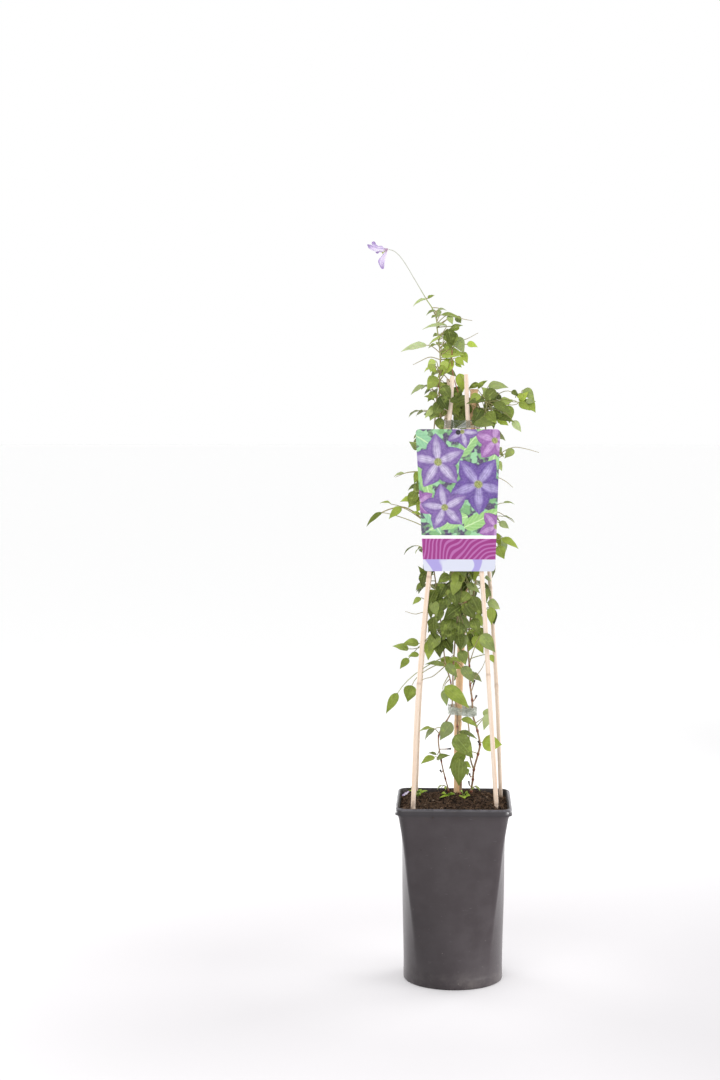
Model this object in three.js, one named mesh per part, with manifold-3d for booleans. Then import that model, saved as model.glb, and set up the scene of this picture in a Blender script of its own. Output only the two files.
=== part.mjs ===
// A young climbing clematis in its nursery pot: four thin canes lean together over a middle
// stake, four leafy stems climb between them, and one bell flower nods from the longest shoot.
// Millimetres, +Z up. The origin is the middle of the pot's foot, +X right, -Y the front.
import * as THREE from 'three';
import { mergeVertices } from 'three/addons/utils/BufferGeometryUtils.js';
import Module from 'manifold-3d';

const wasm = await Module();
wasm.setup();

// ---------- driving dimensions ----------
const GAP = 0.3;                    // clearance between pieces that touch
const POT_HEIGHT = 218;
const POT_FOOT_RADIUS = 59.4;
const POT_RIM_HALF = 66;            // half the width across the flats at the rim
const POT_LIP_HALF = 68.2;          // half the width of the hanging lip
const POT_LIP_DROP = 7.5;
const POT_WALL = 1.5;
const POT_SIDES = 28;
const DRAIN_HOLES = 8;
const DRAIN_RADIUS = 5;
const SOIL_TOP = 212;
const SOIL_MOUND = 12;              // how far the root ball stands above the rest
const SOIL_MIDDLE = [9, 12];        // top of that mound
const SOIL_HUMP = [50, -45, 7];     // a lower one round the foot of the sharpened cane, and its height
const STEM_DEPTH = 34;              // how deep the stems stand in the soil
const CANE_RADIUS = 2.7;
const STAKE_RADIUS = 4;
const STAKE_TOP = 1.15;             // its top, as a share of that radius
const BLADE = 0.6;                  // thickness of a leaflet
const STALK_HALF = 0.5;             // half the width of a leaf stalk
const STALK_BEND = 2.5;             // where a stalk turns, behind the blade
const STRAIGHT_STALK = 0.6;         // least cosine of the turn that a stalk takes without a bend
const GOLDEN = 0.382;               // share of a turn, or of a stretch, from one leaf to the next
const ROOT_SPREAD = 0.6;            // share of the stretch to the next joint that stalks grow from
const FORK = 0.7;                   // half the length of the fork that two side stalks leave from
const SLIVER = 0.08;                // edges shorter than this, left by joining, are closed up
const LEAF_SEED = 4711;             // starts the first stem's stream of numbers
const LEAF_SEED_STEP = 1000;        // from one stem's seed to the next
const TAPE = 0.7;                   // thickness of the tape loops
const LABEL_THICKNESS = 0.6;

// ---------- colours ----------
const finish = (color, roughness, metalness = 0) =>
  new THREE.MeshStandardMaterial({ color, roughness, metalness });
const potPlastic = finish(0x4b484a, 0.55);
const peat = finish(0x3a2619, 0.95);
const paleBamboo = finish(0xe6c3a2, 0.6);
const tanBamboo = finish(0xd09a66, 0.6);
const clearTape = finish(0x9aa79c, 0.35);
const cardPrint = finish(0x8a6cc0, 0.4);
const pegPlastic = finish(0x17171b, 0.4);
const leafGreen = finish(0x4c7a22, 0.6);
const weedGreen = finish(0x7fae2e, 0.6);
const sepalViolet = finish(0xb9a3dd, 0.6);
const stamenGreen = finish(0xc3c56a, 0.7);

// ---------- small helpers ----------
const add = (a, b, k = 1) => [a[0] + b[0] * k, a[1] + b[1] * k, a[2] + b[2] * k];
const sub = (a, b) => [a[0] - b[0], a[1] - b[1], a[2] - b[2]];
const size = (a) => Math.sqrt(a[0] * a[0] + a[1] * a[1] + a[2] * a[2]);
const unit = (a) => add([0, 0, 0], a, 1 / size(a));
const cross = (a, b) => [
  a[1] * b[2] - a[2] * b[1], a[2] * b[0] - a[0] * b[2], a[0] * b[1] - a[1] * b[0]];
const dot = (a, b) => a[0] * b[0] + a[1] * b[1] + a[2] * b[2];
const mix = (a, b, t) => a + (b - a) * t;
const radians = (degrees) => degrees * Math.PI / 180;

// a repeatable stream of numbers from 0 to 1
function numbers(seed) {
  let state = (seed * 48271) % 2147483647;
  return () => {
    state = (state * 48271) % 2147483647;
    return state / 2147483647;
  };
}

// height of a stepped profile at t, by straight lines between its [t, value] pairs
function along(pairs, t) {
  for (let i = 1; i < pairs.length; i += 1) {
    const [t0, v0] = pairs[i - 1];
    const [t1, v1] = pairs[i];
    if (t <= t1) return mix(v0, v1, Math.max(0, (t - t0) / (t1 - t0)));
  }
  return pairs[pairs.length - 1][1];
}

function geometry(points, triangles) {
  const shape = new THREE.BufferGeometry();
  shape.setAttribute('position', new THREE.Float32BufferAttribute(points.flat(), 3));
  shape.setIndex(triangles.flat());
  return shape;
}

// skin over rings of equal count, from a middle point at one end to one at the other
function loft(rings, firstMiddle, lastMiddle) {
  const count = rings[0].length;
  const points = [firstMiddle, ...rings.flat(), lastMiddle];
  const last = points.length - 1;
  const triangles = [];
  const at = (ring, i) => 1 + ring * count + (i % count);
  for (let i = 0; i < count; i += 1) {
    triangles.push([0, at(0, i + 1), at(0, i)]);
    triangles.push([last, at(rings.length - 1, i), at(rings.length - 1, i + 1)]);
    for (let ring = 0; ring + 1 < rings.length; ring += 1) {
      triangles.push([at(ring, i), at(ring, i + 1), at(ring + 1, i)]);
      triangles.push([at(ring, i + 1), at(ring + 1, i + 1), at(ring + 1, i)]);
    }
  }
  return geometry(points, triangles);
}

// tube of changing radius through a list of points
function tube(points, radiusAt, sides) {
  const rings = [];
  let reference = [0.31, 0.95, 0.02];
  points.forEach((point, i) => {
    const before = points[Math.max(0, i - 1)];
    const after = points[Math.min(points.length - 1, i + 1)];
    const way = unit(sub(after, before));
    const across = unit(cross(way, reference));
    const other = cross(across, way);
    reference = other;
    const radius = radiusAt(i / (points.length - 1));
    const ring = [];
    for (let k = 0; k < sides; k += 1) {
      const turn = 2 * Math.PI * k / sides;
      ring.push(add(add(point, across, radius * Math.cos(turn)), other, -radius * Math.sin(turn)));
    }
    rings.push(ring);
  });
  return loft(rings, points[0], points[points.length - 1]);
}

// smooth path through hand-set points
function smooth(points, steps) {
  const curve = new THREE.CatmullRomCurve3(points.map((p) => new THREE.Vector3(...p)), false, 'centripetal');
  const path = [];
  for (let i = 0; i < points.length - 1; i += 1) {
    for (let k = 0; k < steps; k += 1) {
      path.push(curve.getPoint((i + k / steps) / (points.length - 1)).toArray());
    }
  }
  path.push(points[points.length - 1]);
  return path;
}

function solid(shape) {
  const bare = shape.clone();
  bare.deleteAttribute('normal');
  bare.deleteAttribute('uv');
  const merged = mergeVertices(bare, 1e-5);
  return new wasm.Manifold(new wasm.Mesh({
    numProp: 3,
    vertProperties: new Float32Array(merged.attributes.position.array),
    triVerts: new Uint32Array(merged.index.array),
  }));
}

// back to a three.js shape, with the slivers that joining and cutting leave closed up
function unsolid(manifold) {
  const mesh = manifold.asOriginal().simplify(SLIVER).getMesh();
  const shape = new THREE.BufferGeometry();
  shape.setAttribute('position', new THREE.Float32BufferAttribute(mesh.vertProperties, 3));
  shape.setIndex(Array.from(mesh.triVerts));
  return shape;
}

const group = new THREE.Group();
function place(name, shape, material) {
  const mesh = new THREE.Mesh(shape, material);
  mesh.name = name;
  group.add(mesh);
  return mesh;
}

// ---------- pot ----------
// half width and corner roundness (1 is a circle) at each height
const POT_HALF = [[0, POT_FOOT_RADIUS - 1.6], [2, POT_FOOT_RADIUS], [30, 59.5], [60, 60.2], [90, 60.9],
  [120, 61.3], [165, 61.4], [185, 62.5], [198, 64], [POT_HEIGHT - POT_LIP_DROP, 65.3],
  [POT_HEIGHT, POT_RIM_HALF]];
const POT_ROUND = [[0, 1], [40, 0.97], [80, 0.86], [110, 0.68], [140, 0.5], [165, 0.36], [190, 0.24],
  [205, 0.17], [POT_HEIGHT, 0.13]];

function potRing(half, roundness, z) {
  const corner = half * roundness;
  const flat = half - corner;
  const ring = [];
  const perSide = POT_SIDES / 4;
  for (let side = 0; side < 4; side += 1) {
    for (let k = 0; k < perSide; k += 1) {
      const turn = Math.PI / 2 * (side + (k + 0.5) / perSide);
      const cx = flat * Math.sign(Math.cos(turn));
      const cy = flat * Math.sign(Math.sin(turn));
      ring.push([cx + corner * Math.cos(turn), cy + corner * Math.sin(turn), z]);
    }
  }
  return ring;
}

function potWall(z, inset) {
  const roundness = along(POT_ROUND, Math.min(z, POT_HEIGHT - POT_LIP_DROP));
  return potRing(along(POT_HALF, z) - inset, roundness, z);
}

function makePot() {
  const outer = [0, 2, 60, 120, 165, 197].map((z) => potWall(z, 0));
  const underLip = POT_HEIGHT - POT_LIP_DROP;
  const round = along(POT_ROUND, underLip);
  const lip = [
    potWall(underLip, 0),
    potRing(POT_LIP_HALF, round, underLip - 0.6),
    potRing(POT_LIP_HALF + 0.3, round, POT_HEIGHT - 4),
    potRing(POT_RIM_HALF + 0.4, round, POT_HEIGHT - 0.4),
    potRing(POT_RIM_HALF - POT_WALL, round, POT_HEIGHT),
  ];
  const inner = [205, 165, 120, 60, POT_WALL].map((z) => potWall(z, POT_WALL));
  const shell = loft([...outer, ...lip, ...inner], [0, 0, 0], [0, 0, POT_WALL]);
  let pot = solid(shell);
  for (let k = 0; k < DRAIN_HOLES; k += 1) {
    const turn = 2 * Math.PI * (k + 0.5) / DRAIN_HOLES;
    const drain = new THREE.CylinderGeometry(DRAIN_RADIUS, DRAIN_RADIUS, 12, 6);
    drain.rotateX(Math.PI / 2);
    drain.translate((POT_FOOT_RADIUS - 12) * Math.cos(turn), (POT_FOOT_RADIUS - 12) * Math.sin(turn), 0);
    pot = pot.subtract(solid(drain));
  }
  return unsolid(pot);
}

// ---------- soil ----------
const MOUND_SPREAD = 1500;
const HUMP_SPREAD = 140;
const SOIL_RIM_DROP = 2;            // the soil lies lower against the pot

function soilHeight(x, y) {
  const [mx, my] = SOIL_MIDDLE;
  const mound = SOIL_MOUND * Math.exp(-((x - mx) ** 2 + (y - my) ** 2) / MOUND_SPREAD);
  const [hx, hy, rise] = SOIL_HUMP;
  const hump = rise * Math.exp(-((x - hx) ** 2 + (y - hy) ** 2) / HUMP_SPREAD);
  const lumps = 0.9 * Math.sin(x * 0.43 + 1.3) * Math.cos(y * 0.37) + 0.6 * Math.sin(x * 0.19 - y * 0.53);
  return SOIL_TOP + mound + hump + lumps;
}

function makeSoil(holes) {
  const side = [POT_WALL + GAP, 60, 120, 165].map((z) => potWall(z, POT_WALL + GAP));
  const edge = potWall(205, POT_WALL + GAP);
  const top = [1, 0.82, 0.62, 0.42, 0.22].map((share) =>
    edge.map(([x, y]) => {
      const drop = share === 1 ? SOIL_RIM_DROP : 0;
      return [x * share, y * share, soilHeight(x * share, y * share) - drop];
    }));
  let soil = solid(loft([...side, ...top], [0, 0, POT_WALL + GAP], [0, 0, soilHeight(0, 0)]));
  for (const hole of holes) soil = soil.subtract(solid(hole));
  return unsolid(soil);
}

// ---------- canes and stake ----------
const CANES = {
  cane_front_left: { radius: CANE_RADIUS, root: [-46.5, -47, 180],
    path: [[-47.4, -48.5, 214], [-42.4, -41, 342], [-29.6, -29, 491], [-7.6, -15, 663], [-3.6, -12, 719]] },
  cane_front_right: { radius: CANE_RADIUS, root: [50, -46.5, 208], sharpened: true,
    path: [[50.5, -47, 214], [41.8, -40, 343], [31.4, -29, 491], [14.8, -15, 663], [12.1, -12, 721]] },
  cane_back_left: { radius: CANE_RADIUS - 0.2, root: [-45, 44, 178],
    path: [[-46, 45, 212], [-41, 37, 343], [-29, 24, 490], [-11.5, 13.5, 663], [-8.5, 11, 716]] },
  cane_back_right: { radius: CANE_RADIUS - 0.3, root: [54.5, 38, 178],
    path: [[57.2, 40, 212], [51.8, 32, 333], [41, 22, 488], [26.5, 14, 663], [25, 13, 694]] },
  centre_stake: { radius: STAKE_RADIUS, top: STAKE_TOP, root: [4, 10.4, 112],
    path: [[4.4, 10, 222], [4.6, 9.4, 300], [8, 8, 400], [14.6, 6, 540], [21.9, 4.5, 704]] },
};

const THICK_END = 1.02;             // a cane's foot and top, as shares of its radius
const THIN_END = 0.94;
const KNUCKLE = 1.12;
const HOLE_ABOVE = 30;              // how far a hole's cutter runs on above the soil
const CORNER_ROOM = 0.35;           // what a faceted hole needs more than a round one

// the knuckles of a bamboo cane, and the sharpened end of the one that has it
function caneRadius(cane, t) {
  const knuckle = [0.33, 0.56, 0.78].some((k) => Math.abs(t - k) < 0.02) ? KNUCKLE : 1;
  const point = cane.sharpened ? Math.min(1, 0.25 + t * 16) : 1;
  return cane.radius * knuckle * point * mix(THICK_END, cane.top ?? THIN_END, t);
}

function canePath(cane) {
  return [cane.root, ...smooth(cane.path, 2)];
}

function caneHole(cane) {
  const [foot, next] = cane.path;
  const deep = add(cane.root, unit(sub(cane.root, foot)), GAP);
  const width = cane.radius * THICK_END + GAP + CORNER_ROOM;
  return tube([deep, foot, add(foot, unit(sub(next, foot)), HOLE_ABOVE)], () => width, 8);
}

// ---------- leafy stems ----------
// Each stem is a list of its joints from the soil upwards. A leaflet row is the joint that its
// stalk grows from, the blade's foot, its tip, its width, and how far the blade leans from facing
// up (0) to facing forwards (90). A leaf row is a joint, the way it points seen from above,
// its rise, its stalk's length and the length of its three leaflets.
const STEMS = {
  left_stem: {
    radius: [1.1, 0.75],
    joints: [[-6, 13, 224], [-10, 11, 240], [-15, 6, 263], [-18, 2, 294], [-9, 1, 311], [-3, -1, 324],
      [-4, -5, 359], [-10, -7, 379], [-13, -8, 403], [-17, -10, 439], [-21, -9, 469], [-26, -6, 504],
      [-29, -3, 539], [-32, 0, 568], [-30, 0, 604], [-27, -2, 639], [-24, -4, 668], [-22, -7, 692]],
    branches: [
      [12, [[-29, -3, 539], [-44, -5, 557], [-60, -6, 566], [-76, -8, 564], [-86, -10, 560]]],
    ],
    leaflets: [
      [2, [-23, -4, 269], [-39, -10, 261], 10, 35], [2, [-20, -4, 266], [-5, -10, 273], 9, 40],
      [2, [-21, 4, 270], [-31, 8, 272], 6, 20],
      [3, [-25, -4, 303], [-41, -9, 301], 9, 12], [3, [-3, -16, 312], [-18, -22, 293], 16, 70],
      [3, [-23, 6, 301], [-36, 16, 286], 9, 40],
      [6, [-11, -16, 355], [19, -22, 331], 17, 62], [6, [-13, -12, 350], [-7, -15, 332], 9, 75],
      [7, [-12, -15, 380], [-34, -19, 383], 9, 35],
      [7, [-9, -18, 382], [4, -23, 367], 12, 65],
      [8, [-42, -14, 406], [-62, -18, 407], 12, 48], [8, [-54, -10, 399], [-73, -14, 402], 10, 52],
      [8, [-42, -12, 393], [-54, -16, 390], 8, 50], [8, [-54, -14, 388], [-64, -18, 376], 9, 60],
      [7, [-50, -8, 355], [-56, -12, 336], 16, 80], [7, [-67, -10, 346], [-81, -14, 322], 11, 75],
      [9, [-40, -12, 460], [-49, -16, 452], 7, 50], [10, [-37, -10, 477], [-46, -14, 469], 7, 40],
      [10, [-36, -12, 485], [-42, -14, 498], 7, 40],
      [12, [-63, -10, 566], [-78, -14, 553], 10, 60], [12, [-75, -6, 570], [-88, -8, 572], 8, 15],
      [12, [-86, -10, 560], [-105, -13, 545], 7, 45], [12, [-40, -8, 557], [-51, -12, 560], 7, 30],
      [13, [-48, -4, 575], [-64, -8, 573], 11, 40], [13, [-42, -6, 578], [-55, -12, 566], 12, 60],
      [13, [-39, -4, 589], [-50, -10, 584], 13, 55], [13, [-36, -8, 575], [-44, -12, 560], 13, 70],
      [14, [-41, -2, 607], [-48, -6, 594], 11, 70], [14, [-36, -4, 598], [-46, -10, 581], 13, 70],
      [14, [-60, -2, 606], [-72, -4, 602], 6, 25],
      [15, [-44, -6, 634], [-54, -10, 643], 9, 60],
      [16, [-26, -18, 679], [-36, -22, 671], 8, 50], [16, [-25, -16, 692], [-36, -20, 696], 9, 40],
      [16, [-22, -14, 682], [-30, -20, 668], 14, 70], [16, [-17, -20, 688], [-25, -24, 673], 14, 75],
      [17, [-36, -12, 708], [-53, -16, 698], 8, 35], [17, [-22, -12, 718], [-34, -16, 703], 14, 70],
      [17, [-23, -12, 700], [-33, -18, 690], 10, 60], [17, [-16, -20, 707], [-5, -24, 692], 14, 70],
      [17, [-18, -24, 696], [-9, -26, 679], 15, 75], [17, [-6, -24, 692], [4, -26, 688], 10, 50],
    ],
    leaves: [
      [10, 132, 10, 22, 16], [11, 160, 15, 22, 15],
      [13, 120, 25, 22, 16], [15, 130, 20, 20, 15],
      [16, 150, 15, 20, 15], [17, 144, 50, 20, 12], [0, 200, 40, 9, 7],
    ],
    tendrils: [
      [9, [[-36, -14, 443], [-46, -16, 441], [-58, -15, 444]]],
      [7, [[-26, -10, 366], [-34, -12, 364], [-44, -12, 359]]],
      [14, [[-44, 0, 607], [-58, -2, 606], [-70, -3, 601]]],
    ],
  },
  right_stem: {
    radius: [1.7, 0.8],
    joints: [[21, 11, 224], [23, 8, 240], [24, 5, 252], [29, 2, 272], [31, 1, 283], [28, 0, 300],
      [22.5, 0, 319], [21.5, -1, 337], [19, -2, 355], [18, -3, 378], [16, -4, 403], [19, -4, 435],
      [23, -1, 468], [28, 2, 504], [33, 4, 539], [36, 5, 574], [37, 5, 610], [36, 5, 645],
      [35, 5, 670], [37, 4, 689]],
    branches: [
      [2, [[24, 5, 252], [20, -2, 266], [18, -6, 284], [18, -7, 301], [15, -6, 322], [13.5, -8, 338]]],
    ],
    leaflets: [
      [4, [34, 8, 285], [58, 12, 280], 20, 75], [5, [41, -4, 321], [35, -9, 302], 10, 75],
      [5, [36, 4, 317], [43, 10, 327], 8, 50],
      [9, [31, -43, 420], [49, -46, 401], 16, 80], [9, [42, -8, 392], [47, -10, 383], 7, 60],
      [10, [23, -14, 415], [34, -18, 394], 13, 70], [10, [28, -11, 424], [38, -12, 411], 10, 65],
      [11, [39, 4, 453], [55, 10, 446], 13, 60], [11, [45, 3, 446], [46, 6, 426], 10, 70],
      [12, [35, 4, 468], [44, 6, 460], 9, 55], [12, [36, 6, 482], [44, 12, 478], 9, 40],
      [13, [50, -2, 520], [58, -4, 505], 13, 75], [13, [55, 0, 529], [76, 2, 518], 10, 50],
      [13, [46, 4, 535], [54, 4, 520], 10, 60],
      [14, [52, 0, 548], [64, 2, 541], 9, 60], [14, [57, 6, 571], [70, 8, 570], 6, 20],
      [16, [68, 4, 634], [58, 2, 623], 10, 70], [16, [48, 8, 619], [56, 8, 609], 9, 50],
      [18, [40, -8, 694], [31, -10, 706], 13, 60], [18, [44, -10, 687], [67, -8, 675], 12, 55],
      [18, [43, -8, 673], [69, -8, 665], 11, 50], [18, [34, -20, 691], [13, -31, 686], 10, 45],
      [18, [30, -16, 682], [22, -22, 665], 14, 72], [18, [52, 2, 688], [67, 4, 691], 11, 70],
      [18, [16, -5, 686], [10, -7, 670], 12, 75],
      [19, [26, -4, 705], [37, -6, 714], 8, 40], [19, [38, -2, 707], [62, 0, 707], 12, 55],
      [19, [46, -10, 703], [33, -14, 690], 14, 70], [19, [36, -16, 677], [48, -20, 664], 13, 60],
      [19, [65, 4, 701], [74, 6, 696], 8, 50], [19, [75, 4, 689], [85, 6, 702], 8, 60],
      [19, [82, 2, 689], [94, 4, 690], 8, 55], [19, [74, 0, 688], [87, 0, 678], 9, 65],
      [19, [67, 0, 667], [77, 0, 654], 9, 75], [18, [52, -6, 677], [41, -8, 667], 13, 60],
      [18, [27, -20, 698], [17, -26, 687], 11, 65], [19, [49, 2, 668], [62, 2, 661], 10, 50],
    ],
    leaves: [
      [12, 74, 15, 26, 15], [14, 4, 25, 24, 14],
      [16, 62, 20, 24, 13], [17, 55, 15, 20, 15], [18, 80, 10, 22, 16], [19, 60, 45, 18, 14],
      [0, 320, 30, 8, 7],
    ],
    tendrils: [
      [16, [[52, 5, 628], [68, 4, 636], [84, 3, 634], [98, 2, 630]]],
      [14, [[48, 4, 560], [58, 4, 556], [70, 3, 548]]],
      [8, [[26, -2, 366], [33, -3, 376], [38, -2, 388]]],
      [15, [[48, 6, 600], [58, 6, 597], [68, 6, 589]]],
    ],
  },
  front_stem: {
    radius: [1.5, 0.8],
    joints: [[8, 2, 223], [8, -3, 240], [5, -4, 284], [4, -5, 306], [3.5, -6, 326], [-1, -9, 350],
      [-1, -12, 380], [1, -13, 410], [4, -14, 440], [6, -14, 469], [8, -14, 492], [7, -14, 514]],
    branches: [],
    leaflets: [
      [1, [7, -16, 269], [4, -20, 237], 20, 80], [1, [10, -12, 263], [21, -17, 259], 9, 35],
      [1, [15, -9, 256], [17, -12, 248], 6, 60],
      [2, [1, -18, 297], [24, -26, 272], 22, 72], [2, [9, -24, 318], [29, -25, 309], 10, 35],
      [2, [6, -14, 301], [28, -17, 293], 9, 25],
      [6, [10, -22, 380], [23, -28, 361], 13, 68], [6, [-5, -17, 388], [9, -21, 386], 8, 30],
      [7, [8, -22, 399], [13, -27, 382], 13, 75],
      [11, [5, -18, 492], [3, -23, 470], 17, 78], [11, [-6, -15, 487], [-20, -18, 478], 12, 60],
      [10, [-3, -19, 475], [4, -24, 450], 18, 74], [10, [-11, -16, 477], [-21, -20, 457], 16, 70],
      [10, [14, -15, 477], [30, -18, 466], 10, 45], [10, [16, -17, 467], [6, -21, 454], 14, 70],
      [10, [20, -18, 462], [30, -23, 439], 16, 74], [9, [8, -20, 451], [-15, -25, 436], 17, 66],
      [9, [11, -20, 454], [24, -25, 435], 16, 72], [9, [-14, -16, 447], [-24, -19, 428], 10, 70],
      [9, [-22, -17, 433], [-32, -20, 420], 9, 60], [8, [-3, -19, 436], [-14, -24, 411], 20, 76],
      [8, [6, -20, 432], [3, -25, 407], 17, 78], [8, [11, -17, 418], [7, -21, 397], 14, 78],
      [8, [21, -16, 436], [30, -20, 418], 13, 70],
      [7, [-20, -17, 418], [-30, -21, 397], 16, 76], [7, [-13, -15, 414], [-16, -18, 394], 12, 80],
      [9, [-28, -14, 456], [-29, -16, 434], 8, 80], [7, [-8, -15, 413], [-4, -17, 398], 9, 78],
    ],
    leaves: [
      [11, 162, 25, 18, 14],
    ],
    tendrils: [],
  },
  tall_stem: {
    radius: [1.4, 0.6],
    joints: [[9, 19, 223], [9, 19, 245], [7, 16.4, 302], [8, 15.2, 322], [9, 15.8, 360], [12, 17, 408],
      [14, 17, 455], [9, 15, 503], [1, 10, 550], [-8, 5, 598], [-15, 1, 639], [-17.5, -0.5, 670],
      [-19, -1, 713], [-18, 0, 738], [-20, 0, 761], [-22, 0, 775], [-23, 0, 786], [-28, 0, 798],
      [-34, 0, 807], [-40, 0, 817], [-49, 0, 832], [-60, 0, 850], [-67, 0, 859], [-73, 0, 863.6],
      [-78.2, 0, 865.2]],
    branches: [
      [12, [[-19, -1, 713], [-13, -2, 722], [-8, -3, 734], [-4, -1, 746], [-3, 1, 758], [-8, 0, 773]]],
    ],
    leaflets: [
      [18, [-35, -2, 808], [-51, -4, 801], 6, 30], [18, [-33, 2, 809], [-25, 4, 813], 5, 40],
      [16, [-24, -3, 795], [-35, -5, 790], 6, 25], [16, [-21, 3, 796], [-11, 5, 796], 6, 25],
      [16, [-24, -4, 789], [-29, -6, 786], 4, 40],
      [15, [-17, -2, 790], [8, -4, 785], 8, 35], [15, [0, 4, 788], [6, 6, 780], 8, 70],
      [15, [-9, -5, 789], [-3, -8, 779], 8, 70],
      [14, [-11, -2, 778], [-39, -4, 773], 8, 30], [14, [-6, -2, 774], [8, -4, 778], 7, 45],
      [13, [-4, -10, 771], [-8, -14, 750], 16, 85], [13, [-15, -6, 765], [-32, -8, 754], 6, 25],
      [13, [-34, 0, 755], [-64, -2, 747], 11, 45], [13, [0, 0, 764], [9, -4, 745], 14, 80],
      [13, [13, 2, 756], [26, 4, 754], 9, 55], [13, [-2, 4, 749], [-12, 2, 740], 10, 70],
      [13, [7, 6, 747], [14, 6, 734], 9, 70], [12, [-24, -4, 737], [-33, -6, 730], 9, 60],
      [12, [-23, -4, 724], [-33, -6, 730], 8, 50], [12, [-13, -7, 737], [-13, -9, 723], 10, 80],
      [12, [0, -6, 740], [10, -8, 731], 9, 65],
      [11, [-5, 0, 690], [4, -5, 673], 14, 72], [11, [-4, 6, 684], [8, 5, 669], 13, 68],
      [12, [-2, 1, 706], [7, -2, 692], 12, 62],
    ],
    leaves: [
      [4, 80, 20, 26, 17], [5, 120, 10, 30, 18], [6, 90, 25, 34, 17],
      [6, 142, 15, 26, 16], [7, 70, 20, 34, 17],
      [8, 95, 20, 36, 17], [9, 67, 20, 30, 16],
      [10, 59, 20, 34, 16], [11, 95, 20, 38, 15], [12, 80, 30, 22, 14], [13, 100, 35, 17, 12],
      [14, 60, 30, 13, 10], [12, 250, 25, 28, 13],
    ],
    tendrils: [
      [14, [[-8, 2, 766], [8, 2, 761], [26, 2, 769]]],
      [15, [[-2, -2, 789], [8, -3, 785], [19, -3, 783]]],
      [13, [[-30, -2, 741], [-42, -3, 736], [-50, -3, 732]]],
    ],
  },
};

// foot-to-tip places of the outline as [share of length, share of half width]
const OUTLINE = [[0.1, 0.66], [0.36, 1], [0.72, 0.52]];
// the simpler outlines of shorter leaflets, each with the least length that it is for
const OUTLINES = [[20, OUTLINE], [12, [[0.22, 0.92], [0.62, 0.72]]], [0, [[0.4, 0.95]]]];
const ARCH = 0.09;      // how far the midrib bows up, as a share of the length
const FOLD = 0.1;       // how far the two halves rise from the midrib, as a share of the width

// the directions of a blade: along it, across it, and out of its upper face
function bladeFrame(foot, tip, facing) {
  const way = unit(sub(tip, foot));
  const across = unit(cross(way, facing));
  return { foot, way, across, up: cross(across, way), length: size(sub(tip, foot)) };
}

function bladePoint(frame, width, u, v) {
  const rise = ARCH * frame.length * 4 * u * (1 - u) + FOLD * width * Math.abs(v);
  return add(add(add(frame.foot, frame.way, frame.length * u), frame.across, width / 2 * v), frame.up, rise);
}

// A blade is a thin plate, alike on both faces. Its short foot edge is left open as a ring of four
// corners (upper right, upper left, lower left, lower right), for a square stalk to run on from.
function addBlade(mesh, { frame, width }) {
  const { foot, way, across, up } = frame;
  const shape = OUTLINES.find(([least]) => frame.length >= least)[1];
  const right = shape.map(([u, w]) => bladePoint(frame, width, u, w));
  const left = shape.map(([u, w]) => bladePoint(frame, width, u, -w)).reverse();
  const edge = [add(foot, across, STALK_HALF), ...right, bladePoint(frame, width, 1, 0), ...left,
    add(foot, across, -STALK_HALF)];
  const last = edge.length - 1;
  const tip = last / 2;
  const mid = last + 1;
  const middles = (tip === 4 ? [0.36, 0.72] : [0.4]).map((u) => bladePoint(frame, width, u, 0));
  const plate = [...edge, ...middles];
  const faces = [[0, mid, last]];
  for (let i = 0; i < tip; i += 1) {
    const near = tip === 4 && i > 1 ? mid + 1 : mid;
    faces.push([i, i + 1, near], [last - i - 1, last - i, near]);
  }
  if (tip === 4) faces.push([2, mid + 1, mid], [mid + 1, last - 2, mid]);
  const base = mesh.points.length;
  const under = base + plate.length;
  mesh.points.push(...plate, ...plate.map((p) => add(p, up, -BLADE)));
  for (const [a, b, c] of faces) {
    mesh.triangles.push([a + base, b + base, c + base], [a + under, c + under, b + under]);
  }
  for (let i = 0; i < last; i += 1) {
    mesh.triangles.push([i + base, i + 1 + under, i + 1 + base], [i + base, i + under, i + 1 + under]);
  }
  return [base, base + last, under + last, under];
}

// a ring of a square stalk at a point, turned from the blade's directions to the stalk's heading
function stalkRing(mesh, { way, across, up }, point, heading) {
  const share = 1 + dot(way, heading);
  const carry = (v) => unit(add(v, add(way, heading), -dot(v, heading) / share));
  const a = carry(across);
  const u = carry(up);
  return [[1, 1], [-1, 1], [-1, -1], [1, -1]].map(([toRight, toUp]) => {
    mesh.points.push(add(add(point, a, STALK_HALF * toRight), u, STALK_HALF * toUp));
    return mesh.points.length - 1;
  });
}

function joinRings(mesh, ring, next, sides = [0, 1, 2, 3]) {
  for (const k of sides) {
    const m = (k + 1) % 4;
    mesh.triangles.push([ring[k], ring[m], next[m]], [ring[k], next[m], next[k]]);
  }
  return next;
}

function capRing(mesh, ring) {
  mesh.triangles.push([ring[0], ring[1], ring[2]], [ring[0], ring[2], ring[3]]);
}

// the blade, and its stalk as far back as the bend if it has one
function bladeAndBend(mesh, leaflet) {
  if (leaflet.stalk.length === 2) return addBlade(mesh, leaflet);
  const [root, bend, foot] = leaflet.stalk;
  const heading = unit(add(unit(sub(foot, bend)), unit(sub(bend, root))));
  return joinRings(mesh, addBlade(mesh, leaflet), stalkRing(mesh, leaflet.frame, bend, heading));
}

function stalkEnd(mesh, leaflet, ring) {
  const [root, bend] = leaflet.stalk;
  capRing(mesh, joinRings(mesh, ring, stalkRing(mesh, leaflet.frame, root, unit(sub(bend, root)))));
}

function singleLeaf(leaflet) {
  const mesh = { points: [], triangles: [] };
  stalkEnd(mesh, leaflet, bladeAndBend(mesh, leaflet));
  return geometry(mesh.points, mesh.triangles);
}

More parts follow.
